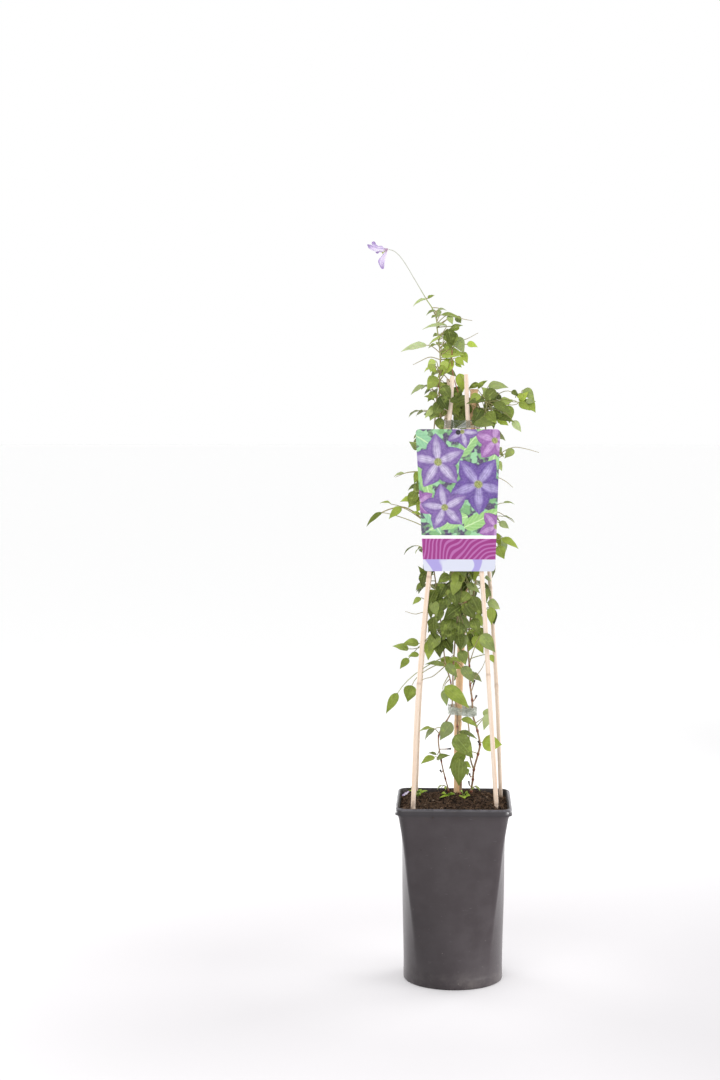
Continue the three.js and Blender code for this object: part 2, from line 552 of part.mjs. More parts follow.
// three leaflets on one forked stalk
function forkedLeaf([middle, left, right]) {
  const mesh = { points: [], triangles: [] };
  const [root, bend] = middle.stalk;
  const back = unit(sub(root, bend));
  const heading = unit(sub(bend, root));
  const upper = bladeAndBend(mesh, middle);
  const far = joinRings(mesh, upper, stalkRing(mesh, middle.frame, add(left.root, back, -FORK), heading));
  const near = stalkRing(mesh, middle.frame, add(left.root, back, FORK), heading);
  joinRings(mesh, far, near, [0, 2]);
  stalkEnd(mesh, middle, near);
  joinRings(mesh, bladeAndBend(mesh, left), [far[1], near[1], near[2], far[2]]);
  joinRings(mesh, bladeAndBend(mesh, right), [near[0], far[0], far[3], near[3]]);
  return geometry(mesh.points, mesh.triangles);
}

// stalks that grow near one joint start at different heights above it
function stalkRoot(stem, joint, index) {
  const from = stem.joints[joint];
  const next = stem.joints[Math.min(joint + 1, stem.joints.length - 1)];
  return add(from, sub(next, from), (index * GOLDEN) % 1 * ROOT_SPREAD);
}

// a stalk runs straight to the blade, or to a bend just behind it if the blade points another way
function stalkPath(root, frame) {
  const middle = add(frame.foot, frame.up, -BLADE / 2);
  if (dot(frame.way, unit(sub(middle, root))) > STRAIGHT_STALK) return [root, middle];
  return [root, add(middle, frame.way, -STALK_BEND), middle];
}

// one leaf of three leaflets: one at the end of the stalk and one to each side
function leafOfThree(joint, [, turn, rise, reach, length], random) {
  const wander = () => (random() - 0.5) * 2;
  const heading = radians(turn + 9 * wander());
  const lift = radians(rise + 9 * wander());
  const flat = [Math.cos(heading), Math.sin(heading), 0];
  const side = [-Math.sin(heading), Math.cos(heading), 0];
  const out = add(add([0, 0, 0], flat, Math.cos(lift)), [0, 0, 1], Math.sin(lift));
  const made = [];
  let fork = joint;
  for (const hand of [0, 1, -1]) {
    const long = length * (hand === 0 ? 1.08 : 0.92) * (1 + 0.12 * wander());
    const fall = 0.55 + 0.3 * wander();
    const spread = add(add([0, 0, 0], flat, hand === 0 ? 1 : 0.35), side, hand);
    const way = unit(add(spread, [0, 0, 1], -fall));
    const foot = hand === 0 ? add(joint, out, reach)
      : add(fork, unit(add(spread, [0, 0, 1], 0.1)), length * 0.35);
    const lean = radians(42 + 22 * wander());
    const facing = add(add([0, 0, 0], flat, Math.sin(lean)), [0, 0, 1], Math.cos(lean));
    const tip = add(foot, way, long);
    const leaflet = finishLeaflet({ foot, tip, width: long * 0.62, facing, root: fork });
    made.push(leaflet);
    if (hand === 0) fork = add(joint, sub(leaflet.stalk[1], joint), 0.62);
  }
  return made;
}

function setLeaflet([, foot, tip, width, lean], root) {
  const facing = [0, -Math.sin(radians(lean)), Math.cos(radians(lean))];
  return finishLeaflet({ foot, tip, width, facing, root });
}

function finishLeaflet(leaflet) {
  leaflet.frame = bladeFrame(leaflet.foot, leaflet.tip, leaflet.facing);
  leaflet.stalk = stalkPath(leaflet.root, leaflet.frame);
  return leaflet;
}

// ---------- tape loops and label ----------
const LOWER_TAPE = { middle: [10, 3], half: [16.6, 15.2], low: 319.5, high: 329, slope: -0.08 };
const UPPER_TAPE = { low: 659, high: 668,
  posts: [[-7.4, -14.8], [14.6, -14.8], [26.5, 14], [-11.4, 13.4]], round: 4.2 };
const LABEL = { top: 657.5, bottom: 493, topHalf: 49.2, bottomHalf: 41.6, middle: [2.9, 5.3],
  topDepth: -18.6, bottomDepth: -32.2, corner: 5 };

function strapOutline(grow) {
  const outline = [];
  const posts = UPPER_TAPE.posts;
  posts.forEach(([x, y], i) => {
    for (let k = 0; k < 4; k += 1) {
      const turn = Math.PI * (1.25 + 0.5 * i) - Math.PI / 4 + Math.PI / 2 * (k / 3);
      const out = UPPER_TAPE.round + grow;
      outline.push([x + out * Math.cos(turn), y + out * Math.sin(turn)]);
    }
  });
  return outline;
}

const OVAL_SIDES = 22;

function ovalOutline(grow) {
  const { middle, half } = LOWER_TAPE;
  const outline = [];
  for (let k = 0; k < OVAL_SIDES; k += 1) {
    const turn = 2 * Math.PI * k / OVAL_SIDES;
    const [wide, deep] = half.map((h) => h + grow);
    outline.push([middle[0] + wide * Math.cos(turn), middle[1] + deep * Math.sin(turn)]);
  }
  return outline;
}

// an upright band between two outlines
function band(inner, outer, low, high, slope) {
  const count = inner.length;
  const level = ([x], z) => z + slope * (x - LOWER_TAPE.middle[0]);
  const points = [
    ...inner.map((p) => [...p, level(p, low)]), ...outer.map((p) => [...p, level(p, low)]),
    ...outer.map((p) => [...p, level(p, high)]), ...inner.map((p) => [...p, level(p, high)])];
  const triangles = [];
  for (let ring = 0; ring < 4; ring += 1) {
    for (let i = 0; i < count; i += 1) {
      const next = (i + 1) % count;
      const a = ring * count + i;
      const b = ring * count + next;
      const c = ((ring + 1) % 4) * count + i;
      const d = ((ring + 1) % 4) * count + next;
      triangles.push([a, b, c]);
      triangles.push([b, d, c]);
    }
  }
  return geometry(points, triangles);
}

// ---------- the plant ----------
// every leaf of a stem, as a list of one leaflet or of three
function leavesOf(stem, stemSeed) {
  const singles = stem.leaflets.map((row, i) => [setLeaflet(row, stalkRoot(stem, row[0], i))]);
  const threes = stem.leaves.map((row, i) =>
    leafOfThree(stalkRoot(stem, row[0], i), row, numbers(stemSeed + 37 * row[0] + row[1])));
  return [...singles, ...threes];
}

function stemPath(stem) {
  const [foot] = stem.joints;
  return [add(foot, [0, 0, 1], -STEM_DEPTH), ...stem.joints];
}

function stemSolid(stem, leaves) {
  const [thick, thin] = stem.radius;
  const parts = [solid(tube(stemPath(stem), (t) => mix(thick, thin, t), 5))];
  for (const [, path] of stem.branches) {
    parts.push(solid(tube(smooth(path, 2), (t) => mix(thin * 1.25, thin * 0.9, t), 4)));
  }
  for (const [from, path] of stem.tendrils) {
    parts.push(solid(tube([stem.joints[from], ...path], (t) => mix(0.6, 0.45, t), 3)));
  }
  for (const leaf of leaves) parts.push(solid(leaf.length === 1 ? singleLeaf(leaf[0]) : forkedLeaf(leaf)));
  return unsolid(wasm.Manifold.union(parts));
}

// ---------- label and its peg ----------
const PEG = { x: 3.2, below: 3.6, head: 2.8, headDeep: 1.5, shank: 1.1, hole: 1.5, catchRadius: 2.3 };
const labelTilt = Math.atan2(LABEL.topDepth - LABEL.bottomDepth, LABEL.top - LABEL.bottom);

function makeLabel() {
  const tall = Math.hypot(LABEL.top - LABEL.bottom, LABEL.topDepth - LABEL.bottomDepth);
  const c = LABEL.corner;
  const [topMiddle, bottomMiddle] = LABEL.middle;
  const card = new THREE.Shape();
  card.moveTo(bottomMiddle - LABEL.bottomHalf + c, 0);
  card.lineTo(bottomMiddle + LABEL.bottomHalf - c, 0);
  card.quadraticCurveTo(bottomMiddle + LABEL.bottomHalf, 0, bottomMiddle + LABEL.bottomHalf + 0.2, c);
  card.lineTo(topMiddle + LABEL.topHalf - 0.2, tall - c);
  card.quadraticCurveTo(topMiddle + LABEL.topHalf, tall, topMiddle + LABEL.topHalf - c, tall);
  card.lineTo(topMiddle - LABEL.topHalf + c, tall);
  card.quadraticCurveTo(topMiddle - LABEL.topHalf, tall, topMiddle - LABEL.topHalf + 0.2, tall - c);
  card.lineTo(bottomMiddle - LABEL.bottomHalf - 0.2, c);
  card.quadraticCurveTo(bottomMiddle - LABEL.bottomHalf, 0, bottomMiddle - LABEL.bottomHalf + c, 0);
  const hole = new THREE.Path();
  hole.absarc(PEG.x, tall - PEG.below, PEG.hole, 0, 2 * Math.PI, true);
  card.holes.push(hole);
  const shape = new THREE.ExtrudeGeometry(card,
    { depth: LABEL_THICKNESS, bevelEnabled: false, curveSegments: 5 });
  return { shape, tall };
}

function makePeg() {
  const behind = LABEL_THICKNESS / 2 + GAP;
  const profile = [
    [0, -behind - 1], [PEG.catchRadius, -behind - 1], [PEG.catchRadius, -behind], [PEG.shank, -behind],
    [PEG.shank, behind], [PEG.head, behind], [PEG.head, behind + PEG.headDeep * 0.5],
    [PEG.head * 0.6, behind + PEG.headDeep], [0, behind + PEG.headDeep]];
  const peg = new THREE.LatheGeometry(profile.map(([r, z]) => new THREE.Vector2(r, z)), 10);
  peg.rotateX(Math.PI / 2);
  return peg;
}

// ---------- flower ----------
const FLOWER = [-80.6, 0, 865.2];
// a sepal's middle line from the flower's heart, its width at each point, and the way its face turns
const SEPALS = [
  { path: [[-1, 0.6, 0.2], [-7, 3, 2], [-14, 5, 3], [-16.5, 6, 9.5]], widths: [2.4, 5, 8, 4],
    facing: [0.3, -0.7, 0.7] },
  { path: [[-1, -0.6, -0.2], [-8, -2.4, -0.6], [-15.5, -4, 0], [-22.5, -5, 5.2]], widths: [2.4, 5, 8, 3],
    facing: [0.1, -0.7, 0.7] },
  { path: [[-0.6, 1.4, -0.4], [-6.5, 6.5, -1], [-13, 9, -3]], widths: [2.4, 6, 4], facing: [-0.2, 0.5, 0.8] },
  { path: [[-0.5, -0.8, -1.2], [-2.8, -2, -7.5], [-6, -3, -14], [-4.6, -2.6, -22.5]], widths: [2, 6, 10, 4],
    facing: [-0.2, -1, 0.1] },
];

// a thin curved band, alike on both faces
function ribbon({ path, widths, facing }) {
  const above = [];
  const below = [];
  path.forEach((point, i) => {
    const way = unit(sub(path[Math.min(i + 1, path.length - 1)], path[Math.max(i - 1, 0)]));
    const across = unit(cross(way, facing));
    const up = cross(across, way);
    for (const side of [1, 0, -1]) {
      const spot = add(add(point, across, widths[i] / 2 * side), up, FOLD * widths[i] * Math.abs(side));
      above.push(spot);
      below.push(add(spot, up, -BLADE));
    }
  });
  const under = above.length;
  const triangles = [];
  const quad = (a, b, c, d) => triangles.push([a, b, c], [a, c, d]);
  const last = path.length - 1;
  for (let i = 0; i < last; i += 1) {
    const here = 3 * i;
    for (const k of [here, here + 1]) {
      quad(k, k + 3, k + 4, k + 1);
      quad(k + under, k + 1 + under, k + 4 + under, k + 3 + under);
    }
    quad(here, here + under, here + 3 + under, here + 3);
    quad(here + 2, here + 5, here + 5 + under, here + 2 + under);
  }
  for (const k of [0, 1]) {
    quad(k, k + 1, k + 1 + under, k + under);
    const end = 3 * last + k;
    quad(end, end + under, end + 1 + under, end + 1);
  }
  return geometry([...above, ...below], triangles);
}

function makeSepals() {
  const heart = new THREE.SphereGeometry(1.7, 6, 4);
  heart.translate(...FLOWER);
  const parts = [solid(heart)];
  for (const sepal of SEPALS) {
    parts.push(solid(ribbon({ ...sepal, path: sepal.path.map((p) => add(FLOWER, p)) })));
  }
  return unsolid(wasm.Manifold.union(parts));
}

// short filaments that spread from a small knob, below the bell's heart
function makeStamens() {
  const root = add(FLOWER, [-3, 0.4, -2.3]);
  const knob = new THREE.SphereGeometry(0.9, 6, 4);
  knob.translate(...root);
  const parts = [solid(knob)];
  for (let k = 0; k < 6; k += 1) {
    const turn = 2 * Math.PI * k / 6;
    const end = add(root, [-2.4 + 0.9 * Math.cos(turn), 1.2 * Math.sin(turn), -2.2 - 0.9 * Math.cos(turn)]);
    parts.push(solid(tube([root, end], () => 0.38, 3)));
  }
  return unsolid(wasm.Manifold.union(parts));
}

// ---------- weed seedling and fallen petal ----------
const WEED = [-43, 27];             // where the seedling and the petal lie on the soil
const PETAL = [-58, 37];
const WEED_DEPTH = 8;
const WEED_RADIUS = 0.9;

function makeWeed() {
  const foot = [WEED[0], WEED[1], soilHeight(...WEED)];
  const top = add(foot, [0, 0, 1], 4);
  const parts = [solid(tube([add(foot, [0, 0, 1], -WEED_DEPTH), top], () => WEED_RADIUS, 5))];
  const random = numbers(97);
  for (let k = 0; k < 5; k += 1) {
    const turn = 2 * Math.PI * GOLDEN * k + 0.4 * random();
    const out = [Math.cos(turn), Math.sin(turn), 0.25 + 0.6 * random()];
    const start = add(top, out, 2.5 + 2.5 * random());
    const end = add(start, out, 6 + 2 * random());
    const leaflet = finishLeaflet({ foot: start, tip: end, width: 4.6, facing: [0, -0.3, 0.95], root: top });
    parts.push(solid(singleLeaf(leaflet)));
  }
  return unsolid(wasm.Manifold.union(parts));
}

function makeFallenPetal() {
  const [x, y] = PETAL;
  const z = soilHeight(...PETAL) + 1.2;
  const path = [[x - 4, y - 2, z], [x - 0.5, y - 0.5, z + 1.6], [x + 4, y + 2, z + 4.4]];
  return ribbon({ path, widths: [2, 4.5, 3], facing: [0, -0.2, 1] });
}

// ---------- assembly ----------
place('pot', makePot(), potPlastic);

const holes = Object.values(CANES).map(caneHole);
for (const stem of Object.values(STEMS)) {
  const [foot] = stem.joints;
  const deep = add(foot, [0, 0, 1], -STEM_DEPTH - GAP);
  holes.push(tube([deep, add(foot, [0, 0, 1], HOLE_ABOVE)], () => stem.radius[0] + 2 * GAP, 8));
}
const weedFoot = [WEED[0], WEED[1], soilHeight(...WEED)];
holes.push(tube([add(weedFoot, [0, 0, 1], -WEED_DEPTH - GAP), add(weedFoot, [0, 0, 1], HOLE_ABOVE)],
  () => WEED_RADIUS + 2 * GAP, 8));
place('soil', makeSoil(holes), peat);

for (const [name, cane] of Object.entries(CANES)) {
  const shape = tube(canePath(cane), (t) => caneRadius(cane, t), name === 'centre_stake' ? 10 : 8);
  place(name, shape, name === 'centre_stake' ? tanBamboo : paleBamboo);
}

const lowerBand = band(ovalOutline(0), ovalOutline(TAPE), LOWER_TAPE.low, LOWER_TAPE.high, LOWER_TAPE.slope);
place('lower_tape', lowerBand, clearTape);
place('upper_tape', band(strapOutline(0), strapOutline(TAPE), UPPER_TAPE.low, UPPER_TAPE.high, 0), clearTape);

const { shape: cardShape, tall } = makeLabel();
const label = place('label', cardShape, cardPrint);
label.rotation.x = Math.PI / 2 - labelTilt;
label.position.set(0, LABEL.bottomDepth, LABEL.bottom);
const peg = place('label_peg', makePeg(), pegPlastic);
peg.rotation.x = Math.PI / 2 - labelTilt;
const pegUp = tall - PEG.below;
const pegOut = LABEL_THICKNESS / 2;
peg.position.set(PEG.x,
  LABEL.bottomDepth + pegUp * Math.sin(labelTilt) - pegOut * Math.cos(labelTilt),
  LABEL.bottom + pegUp * Math.cos(labelTilt) + pegOut * Math.sin(labelTilt));

Object.entries(STEMS).forEach(([name, stem], i) => {
  place(name, stemSolid(stem, leavesOf(stem, LEAF_SEED + LEAF_SEED_STEP * i)), leafGreen);
});

place('flower_sepals', makeSepals(), sepalViolet);
place('flower_stamens', makeStamens(), stamenGreen);
place('weed_seedling', makeWeed(), weedGreen);
place('fallen_petal', makeFallenPetal(), sepalViolet);

export default group;
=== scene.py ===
import math

import bmesh
import bpy
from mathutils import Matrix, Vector


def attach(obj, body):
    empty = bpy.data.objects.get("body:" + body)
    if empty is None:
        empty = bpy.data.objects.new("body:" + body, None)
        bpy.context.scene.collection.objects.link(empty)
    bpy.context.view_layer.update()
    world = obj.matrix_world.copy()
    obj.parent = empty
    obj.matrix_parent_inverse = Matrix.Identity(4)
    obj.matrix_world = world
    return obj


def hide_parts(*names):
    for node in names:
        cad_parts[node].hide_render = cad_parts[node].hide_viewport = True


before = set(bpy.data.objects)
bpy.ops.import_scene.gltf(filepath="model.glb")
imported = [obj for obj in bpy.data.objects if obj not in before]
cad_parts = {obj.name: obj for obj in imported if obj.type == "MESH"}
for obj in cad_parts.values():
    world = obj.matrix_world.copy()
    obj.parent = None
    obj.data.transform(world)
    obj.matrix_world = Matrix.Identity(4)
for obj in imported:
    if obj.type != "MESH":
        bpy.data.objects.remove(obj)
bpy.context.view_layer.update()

# ======== Pot ========
# A tall nursery pot moulded in one shot of dark grey plastic. It is round at the foot and turns
# square towards its hanging lip, and eight drain holes are left open round its floor.
# Sizes are millimetres from here on, and make_piece turns them into metres.
MM = 0.001
POT_WALL = 1.5
POT_SIDES = 168
# pairs of a height and the half width there
POT_HALF = [(0, 57.8), (2, 59.4), (30, 59.5), (60, 60.2), (90, 60.9), (120, 61.3), (165, 61.4), (185, 62.5),
            (198, 64), (210.5, 65.3), (218, 66)]
# how far out its four ridges stand, as a share of its half width, and how softly they are rounded
ROUND, SQUARE = 0.7072, 0.9995
POT_RIDGE = [(0, ROUND), (14, ROUND), (40, 0.735), (80, 0.785), (110, 0.84), (140, 0.895), (165, 0.935),
             (190, 0.975), (205, 0.99), (210.5, SQUARE)]
POT_SOFT = [(0, 4), (110, 4), (165, 7), (205, 10.5), (218, 10.5)]
FOOT_SOFT, LIP_SOFT = 4, 10.6
# pairs of a half width and a height, over the rounded lip, under the foot and over the floor inside
LIP_PROFILE = [(65.4, 210.5), (67.6, 209.9), (68.1, 209.95), (68.4, 210.4), (68.5, 212), (68.5, 214.4),
               (68.35, 215.4), (67.7, 216.5), (66.9, 217.3), (66.1, 217.8), (65.6, 218), (65.2, 217.95),
               (64.9, 217.6), (64.7, 216.8)]
FOOT_PROFILE = [(20, 0.8), (50.5, 0.8), (52.5, 0), (57.2, 0), (58.1, 0.2), (58.8, 0.6), (59.2, 1.2),
                (59.4, 2), (59.4, 10.8), (59.37, 11.6), (59.27, 12.6)]
FLOOR_PROFILE = [(57.2, 2.4), (54, 1.9)]
FLOOR_UNDER, FLOOR_OVER = 0.8, 1.9
SIDE_INSET = 0.25                   # how far the long sides are drawn in from POT_HALF
NECK = [(206.4, -0.1), (207, 0.2), (209.8, 0.2)]    # heights under the lip, and how far out of POT_HALF
INNER_HEIGHTS = (214, 205, 190, 165, 140, 120, 90, 60, 30, 4)
SMEAR_RINGS = 3                     # rings of the lip over which the inside's smears set in
DRAIN_HOLES = 8
DRAIN_RADIUS = 5
DRAIN_OUT = 47.4
DRAIN_CUT = (-3, 6)                 # lowest and highest level of the tool that cuts them


def mix(a, b, t):
    return a + (b - a) * t


def along(pairs, t):
    """The value at t of a stepped profile, by straight lines between its (t, value) pairs."""
    for (t0, v0), (t1, v1) in zip(pairs, pairs[1:]):
        if t <= t1:
            return mix(v0, v1, max(0, (t - t0) / (t1 - t0)))
    return pairs[-1][1]


def eased(pairs, t, spread=9):
    """The same profile with its corners eased over a stretch on each side."""
    steps = range(-4, 5)
    return sum(along(pairs, t + spread * k / 4) for k in steps) / len(steps)


def pot_ring(half, ridge, soft, z, count=POT_SIDES):
    """Four bowed sides that meet in softened ridges, as evenly spaced points: from a circle to a square."""
    edge = half * ridge
    bow = ((half - edge) ** 2 + edge ** 2) / (2 * (half - edge))
    middle = half - bow
    bend = (middle + math.sqrt(2 * (bow - soft) ** 2 - middle ** 2)) / 2
    swing = math.atan2(bend, bend - middle)
    side_run, quarter = bow * swing, 2 * bow * swing + soft * (math.pi / 2 - 2 * swing)
    ring = []
    for i in range(count):
        side, share = divmod(i + 0.5, count / 4)
        run = share / (count / 4) * quarter
        if run < side_run:
            x, y = middle + bow * math.cos(run / bow), bow * math.sin(run / bow)
        elif run > quarter - side_run:
            turn = (quarter - run) / bow
            x, y = bow * math.sin(turn), middle + bow * math.cos(turn)
        else:
            turn = swing + (run - side_run) / soft
            x, y = bend + soft * math.cos(turn), bend + soft * math.sin(turn)
        for _ in range(int(side)):
            x, y = -y, x
        ring.append((x, y, z))
    return ring


def loft(rings, first, last):
    """Points and faces of a skin over rings of equal count, closed by a middle point at each end."""
    count = len(rings[0])
    points = [first, *(p for ring in rings for p in ring), last]
    faces = []
    for i in range(count):
        j = (i + 1) % count
        faces.append((0, 1 + j, 1 + i))
        for r in range(len(rings) - 1):
            low, high = 1 + r * count, 1 + (r + 1) * count
            faces.append((low + i, low + j, high + j, high + i))
        top = 1 + (len(rings) - 1) * count
        faces.append((len(points) - 1, top + i, top + j))
    return points, faces


def circle(count, radius=1, x=0, y=0):
    """Points spaced evenly round a circle, from its right side on."""
    turns = [2 * math.pi * k / count for k in range(count)]
    return [(x + radius * math.cos(turn), y + radius * math.sin(turn)) for turn in turns]


def make_piece(name, points, faces, *skins, sharp=40):
    """A closed mesh with its faces turned outwards, smooth but for its sharp edges."""
    mesh = bpy.data.meshes.new(name)
    mesh.from_pydata([Vector(p) * MM for p in points], [], faces)
    shell = bmesh.new()
    shell.from_mesh(mesh)
    bmesh.ops.recalc_face_normals(shell, faces=shell.faces)
    for face in shell.faces:
        face.smooth = True
    shell.to_mesh(mesh)
    shell.free()
    mesh.set_sharp_from_angle(angle=math.radians(sharp))
    for skin in skins:
        mesh.materials.append(skin)
    made = bpy.data.objects.new(name, mesh)
    bpy.context.scene.collection.objects.link(made)
    return made


def settle(piece):
    """Turns what the piece's modifiers make into its own plain mesh."""
    graph = bpy.context.evaluated_depsgraph_get()
    made = bpy.data.meshes.new_from_object(piece.evaluated_get(graph))
    piece.modifiers.clear()
    piece.data = made
    return piece


def set_layer(mesh, name, kind, values):
    """Stores a number, or a vector, for each point of the mesh."""
    layer = mesh.attributes.new(name, kind, "POINT")
    if kind == "FLOAT":
        layer.data.foreach_set("value", values)
    else:
        layer.data.foreach_set("vector", [n for v in values for n in v])


def stand_for(piece, slot, *nodes):
    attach(piece, "root")
    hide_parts(*nodes)


class Wiring:
    """A node tree in the making: each call adds a node and fills or links its inputs."""

    def __init__(self, tree):
        self.tree = tree

    def fill(self, made, values):
        for name, value in dict(values).items():
            if isinstance(name, int):
                socket = made.inputs[name]
            else:
                socket = next(s for s in made.inputs if s.name == name and s.enabled)
            if isinstance(value, bpy.types.NodeSocket):
                self.tree.links.new(value, socket)
            else:
                socket.default_value = value

    def node(self, kind, values=(), **settings):
        made = self.tree.nodes.new(kind)
        for name, value in settings.items():
            setattr(made, name, value)
        self.fill(made, values)
        return made

    def out(self, kind, values=(), pick=None, **settings):
        made = self.node(kind, values, **settings)
        return next(s for s in made.outputs if s.enabled and pick in (None, s.name))

    def calc(self, operation, *values, clamp=False):
        return self.out("ShaderNodeMath", dict(enumerate(values)), operation=operation, use_clamp=clamp)

    def times(self, product, *others):
        for other in others:
            product = self.calc("MULTIPLY", product, other)
        return product

    def part(self, vector, axis):
        return self.out("ShaderNodeSeparateXYZ", {"Vector": vector}, pick=axis)

    def length(self, vector):
        return self.out("ShaderNodeVectorMath", {0: vector}, pick="Value", operation="LENGTH")

    def vector(self, operation, *values, scale=None):
        inputs = dict(enumerate(values))
        if scale is not None:
            inputs["Scale"] = scale
        return self.out("ShaderNodeVectorMath", inputs, operation=operation)

    def remap(self, value, low, high, to_low=0.0, to_high=1.0, smooth=True):
        return self.out("ShaderNodeMapRange", {"Value": value, "From Min": low, "From Max": high,
                                               "To Min": to_low, "To Max": to_high},
                        interpolation_type="SMOOTHSTEP" if smooth else "LINEAR")

    def blend(self, share, a, b, kind="MIX"):
        colours = {"A": a, "B": b}
        for name, colour in colours.items():
            if isinstance(colour, tuple) and len(colour) == 3:
                colours[name] = (*colour, 1)
        return self.out("ShaderNodeMix", {"Factor": share, **colours}, data_type="RGBA", blend_type=kind)

    def noise(self, vector, scale, detail=3.0, roughness=0.55, pick=None):
        return self.out("ShaderNodeTexNoise", {"Vector": vector, "Scale": scale, "Detail": detail,
                                               "Roughness": roughness}, pick=pick)

    def named(self, name, kind="FLOAT"):
        """A mesh attribute, in a finish or in a geometry tree."""
        if self.tree.type == "GEOMETRY":
            return self.out("GeometryNodeInputNamedAttribute", {"Name": name}, data_type=kind)
        return self.out("ShaderNodeAttribute", pick="Fac" if kind == "FLOAT" else "Vector",
                        attribute_name=name)

    def stretched(self, vector, scale):
        return self.out("ShaderNodeMapping", {"Vector": vector, "Scale": scale})


class Finish(Wiring):
    """A surface finish with one main shader; its plain values go straight onto that shader."""

    def __init__(self, name, values=()):
        self.skin = bpy.data.materials.new(name)
        self.skin.use_nodes = True
        super().__init__(self.skin.node_tree)
        self.shader = self.tree.nodes["Principled BSDF"]
        self.fill(self.shader, values)
        self.place = self.out("ShaderNodeTexCoord", pick="Object")

    def bump(self, height, distance, strength=1.0, under=None):
        values = {"Height": height, "Distance": distance, "Strength": strength}
        if under is not None:
            values["Normal"] = under
        return self.out("ShaderNodeBump", values)


# The pot is a cloudy grey, rubbed paler here and there, with pale specks, and splashes of compost towards
# the rim. Its lip is darkened with painted shade and has a worn top edge, dust clings to its foot, and
# its inside is smeared.
pot_plastic = Finish("Dark grey pot plastic", {"Specular IOR Level": 0.5})
w = pot_plastic
height = w.part(w.place, "Z")
cloud = w.noise(w.place, 26, 5, 0.6)
grey = w.blend(w.remap(cloud, 0.3, 0.7), (0.0205, 0.0148, 0.0168), (0.0295, 0.0232, 0.0258))
rubs = w.noise(w.stretched(w.place, (90, 90, 420)), 1, 4, 0.65)
grey = w.blend(w.times(w.remap(rubs, 0.64, 0.8), 0.4), grey, (0.13, 0.125, 0.135))
specks = w.noise(w.place, 330, 2, 0.5)
grey = w.blend(w.times(w.remap(specks, 0.74, 0.8), 0.5), grey, (0.17, 0.15, 0.14))
splash = w.times(w.remap(w.noise(w.place, 70, 6, 0.7), 0.52, 0.7),
                 w.remap(height, 0.2, 0.214, 0.0, 0.8))
grey = w.blend(splash, grey, (0.03, 0.02, 0.016))
# painted shade: everything from the lip's underside up, the lip and the top of the inside wall, is darkened
grey = w.blend(w.remap(height, 0.2095, 0.2105, 0.0, 0.5), grey, (0.005, 0.005, 0.008))
worn = w.times(w.remap(w.noise(w.place, 160, 4, 0.7), 0.35, 0.6, 0.35, 1.0),
               w.remap(height, 0.2155, 0.217, 0.0, 0.55))
grey = w.blend(worn, grey, (0.1, 0.095, 0.11))
dust = w.times(w.remap(w.noise(w.place, 45, 5, 0.7), 0.4, 0.75), w.remap(height, 0.0, 0.03, 0.5, 0.0))
grey = w.blend(dust, grey, (0.1, 0.088, 0.082))
smear = w.times(w.named("inside"), w.remap(w.noise(w.place, 120, 5, 0.7), 0.3, 0.5, 0.55, 1.0))
grey = w.blend(smear, grey, (0.016, 0.01, 0.008))
w.fill(w.shader, {
    "Base Color": grey,
    "Roughness": w.calc("MAXIMUM", w.remap(cloud, 0.25, 0.75, 0.27, 0.4), w.times(smear, 0.85)),
    "Normal": w.bump(w.noise(w.place, 1500, 2, 0.6), 0.00012, 0.5,
                     w.bump(w.noise(w.place, 22, 2, 0.4), 0.0012, 0.35))})

outer = [(eased(POT_HALF, z) - SIDE_INSET, eased(POT_RIDGE, z), eased(POT_SOFT, z), z)
         for z in range(16, 196, 5)]
outer += [(eased(POT_HALF, z, 5) - SIDE_INSET, eased(POT_RIDGE, z, 5), along(POT_SOFT, z), z)
          for z in (199, 203)]
outer += [(along(POT_HALF, z) + out, along(POT_RIDGE, z), along(POT_SOFT, z), z) for z, out in NECK]
inner = [(along(POT_HALF, z) - POT_WALL, along(POT_RIDGE, z), along(POT_SOFT, z) - 0.5, z)
         for z in INNER_HEIGHTS]
pot_rings = [pot_ring(half, ROUND, FOOT_SOFT, z) for half, z in FOOT_PROFILE]
pot_rings += [pot_ring(*ring) for ring in outer]
pot_rings += [pot_ring(half, SQUARE, LIP_SOFT, z) for half, z in LIP_PROFILE]
pot_rings += [pot_ring(*ring) for ring in inner]
pot_rings += [pot_ring(half, ROUND, FOOT_SOFT, z) for half, z in FLOOR_PROFILE]
pot_shell = loft(pot_rings, (0, 0, FLOOR_UNDER), (0, 0, FLOOR_OVER))
pot = make_piece("nursery_pot", *pot_shell, pot_plastic.skin)
first_inner = 1 + POT_SIDES * (len(pot_rings) - len(inner) - len(FLOOR_PROFILE))
set_layer(pot.data, "inside", "FLOAT", [min(1, max(0, (i - first_inner) / POT_SIDES + SMEAR_RINGS))
                                        for i in range(len(pot.data.vertices))])

drain_points, drain_faces = [], []
for k in range(DRAIN_HOLES):
    turn = 2 * math.pi * (k + 0.5) / DRAIN_HOLES
    x, y = DRAIN_OUT * math.cos(turn), DRAIN_OUT * math.sin(turn)
    rings = [[(*point, z) for point in circle(24, DRAIN_RADIUS, x, y)] for z in DRAIN_CUT]
    points, faces = loft(rings, (x, y, DRAIN_CUT[0]), (x, y, DRAIN_CUT[1]))
    drain_faces += [tuple(i + len(drain_points) for i in face) for face in faces]
    drain_points += points
drains = make_piece("drain_cutter", drain_points, drain_faces)
cut = pot.modifiers.new("Drain holes", "BOOLEAN")
cut.operation = "DIFFERENCE"
cut.object = drains
cut.solver = "EXACT"
settle(pot)
bpy.data.objects.remove(drains)
pot.data.set_sharp_from_angle(angle=math.radians(40))
stand_for(pot, "pot", "pot")

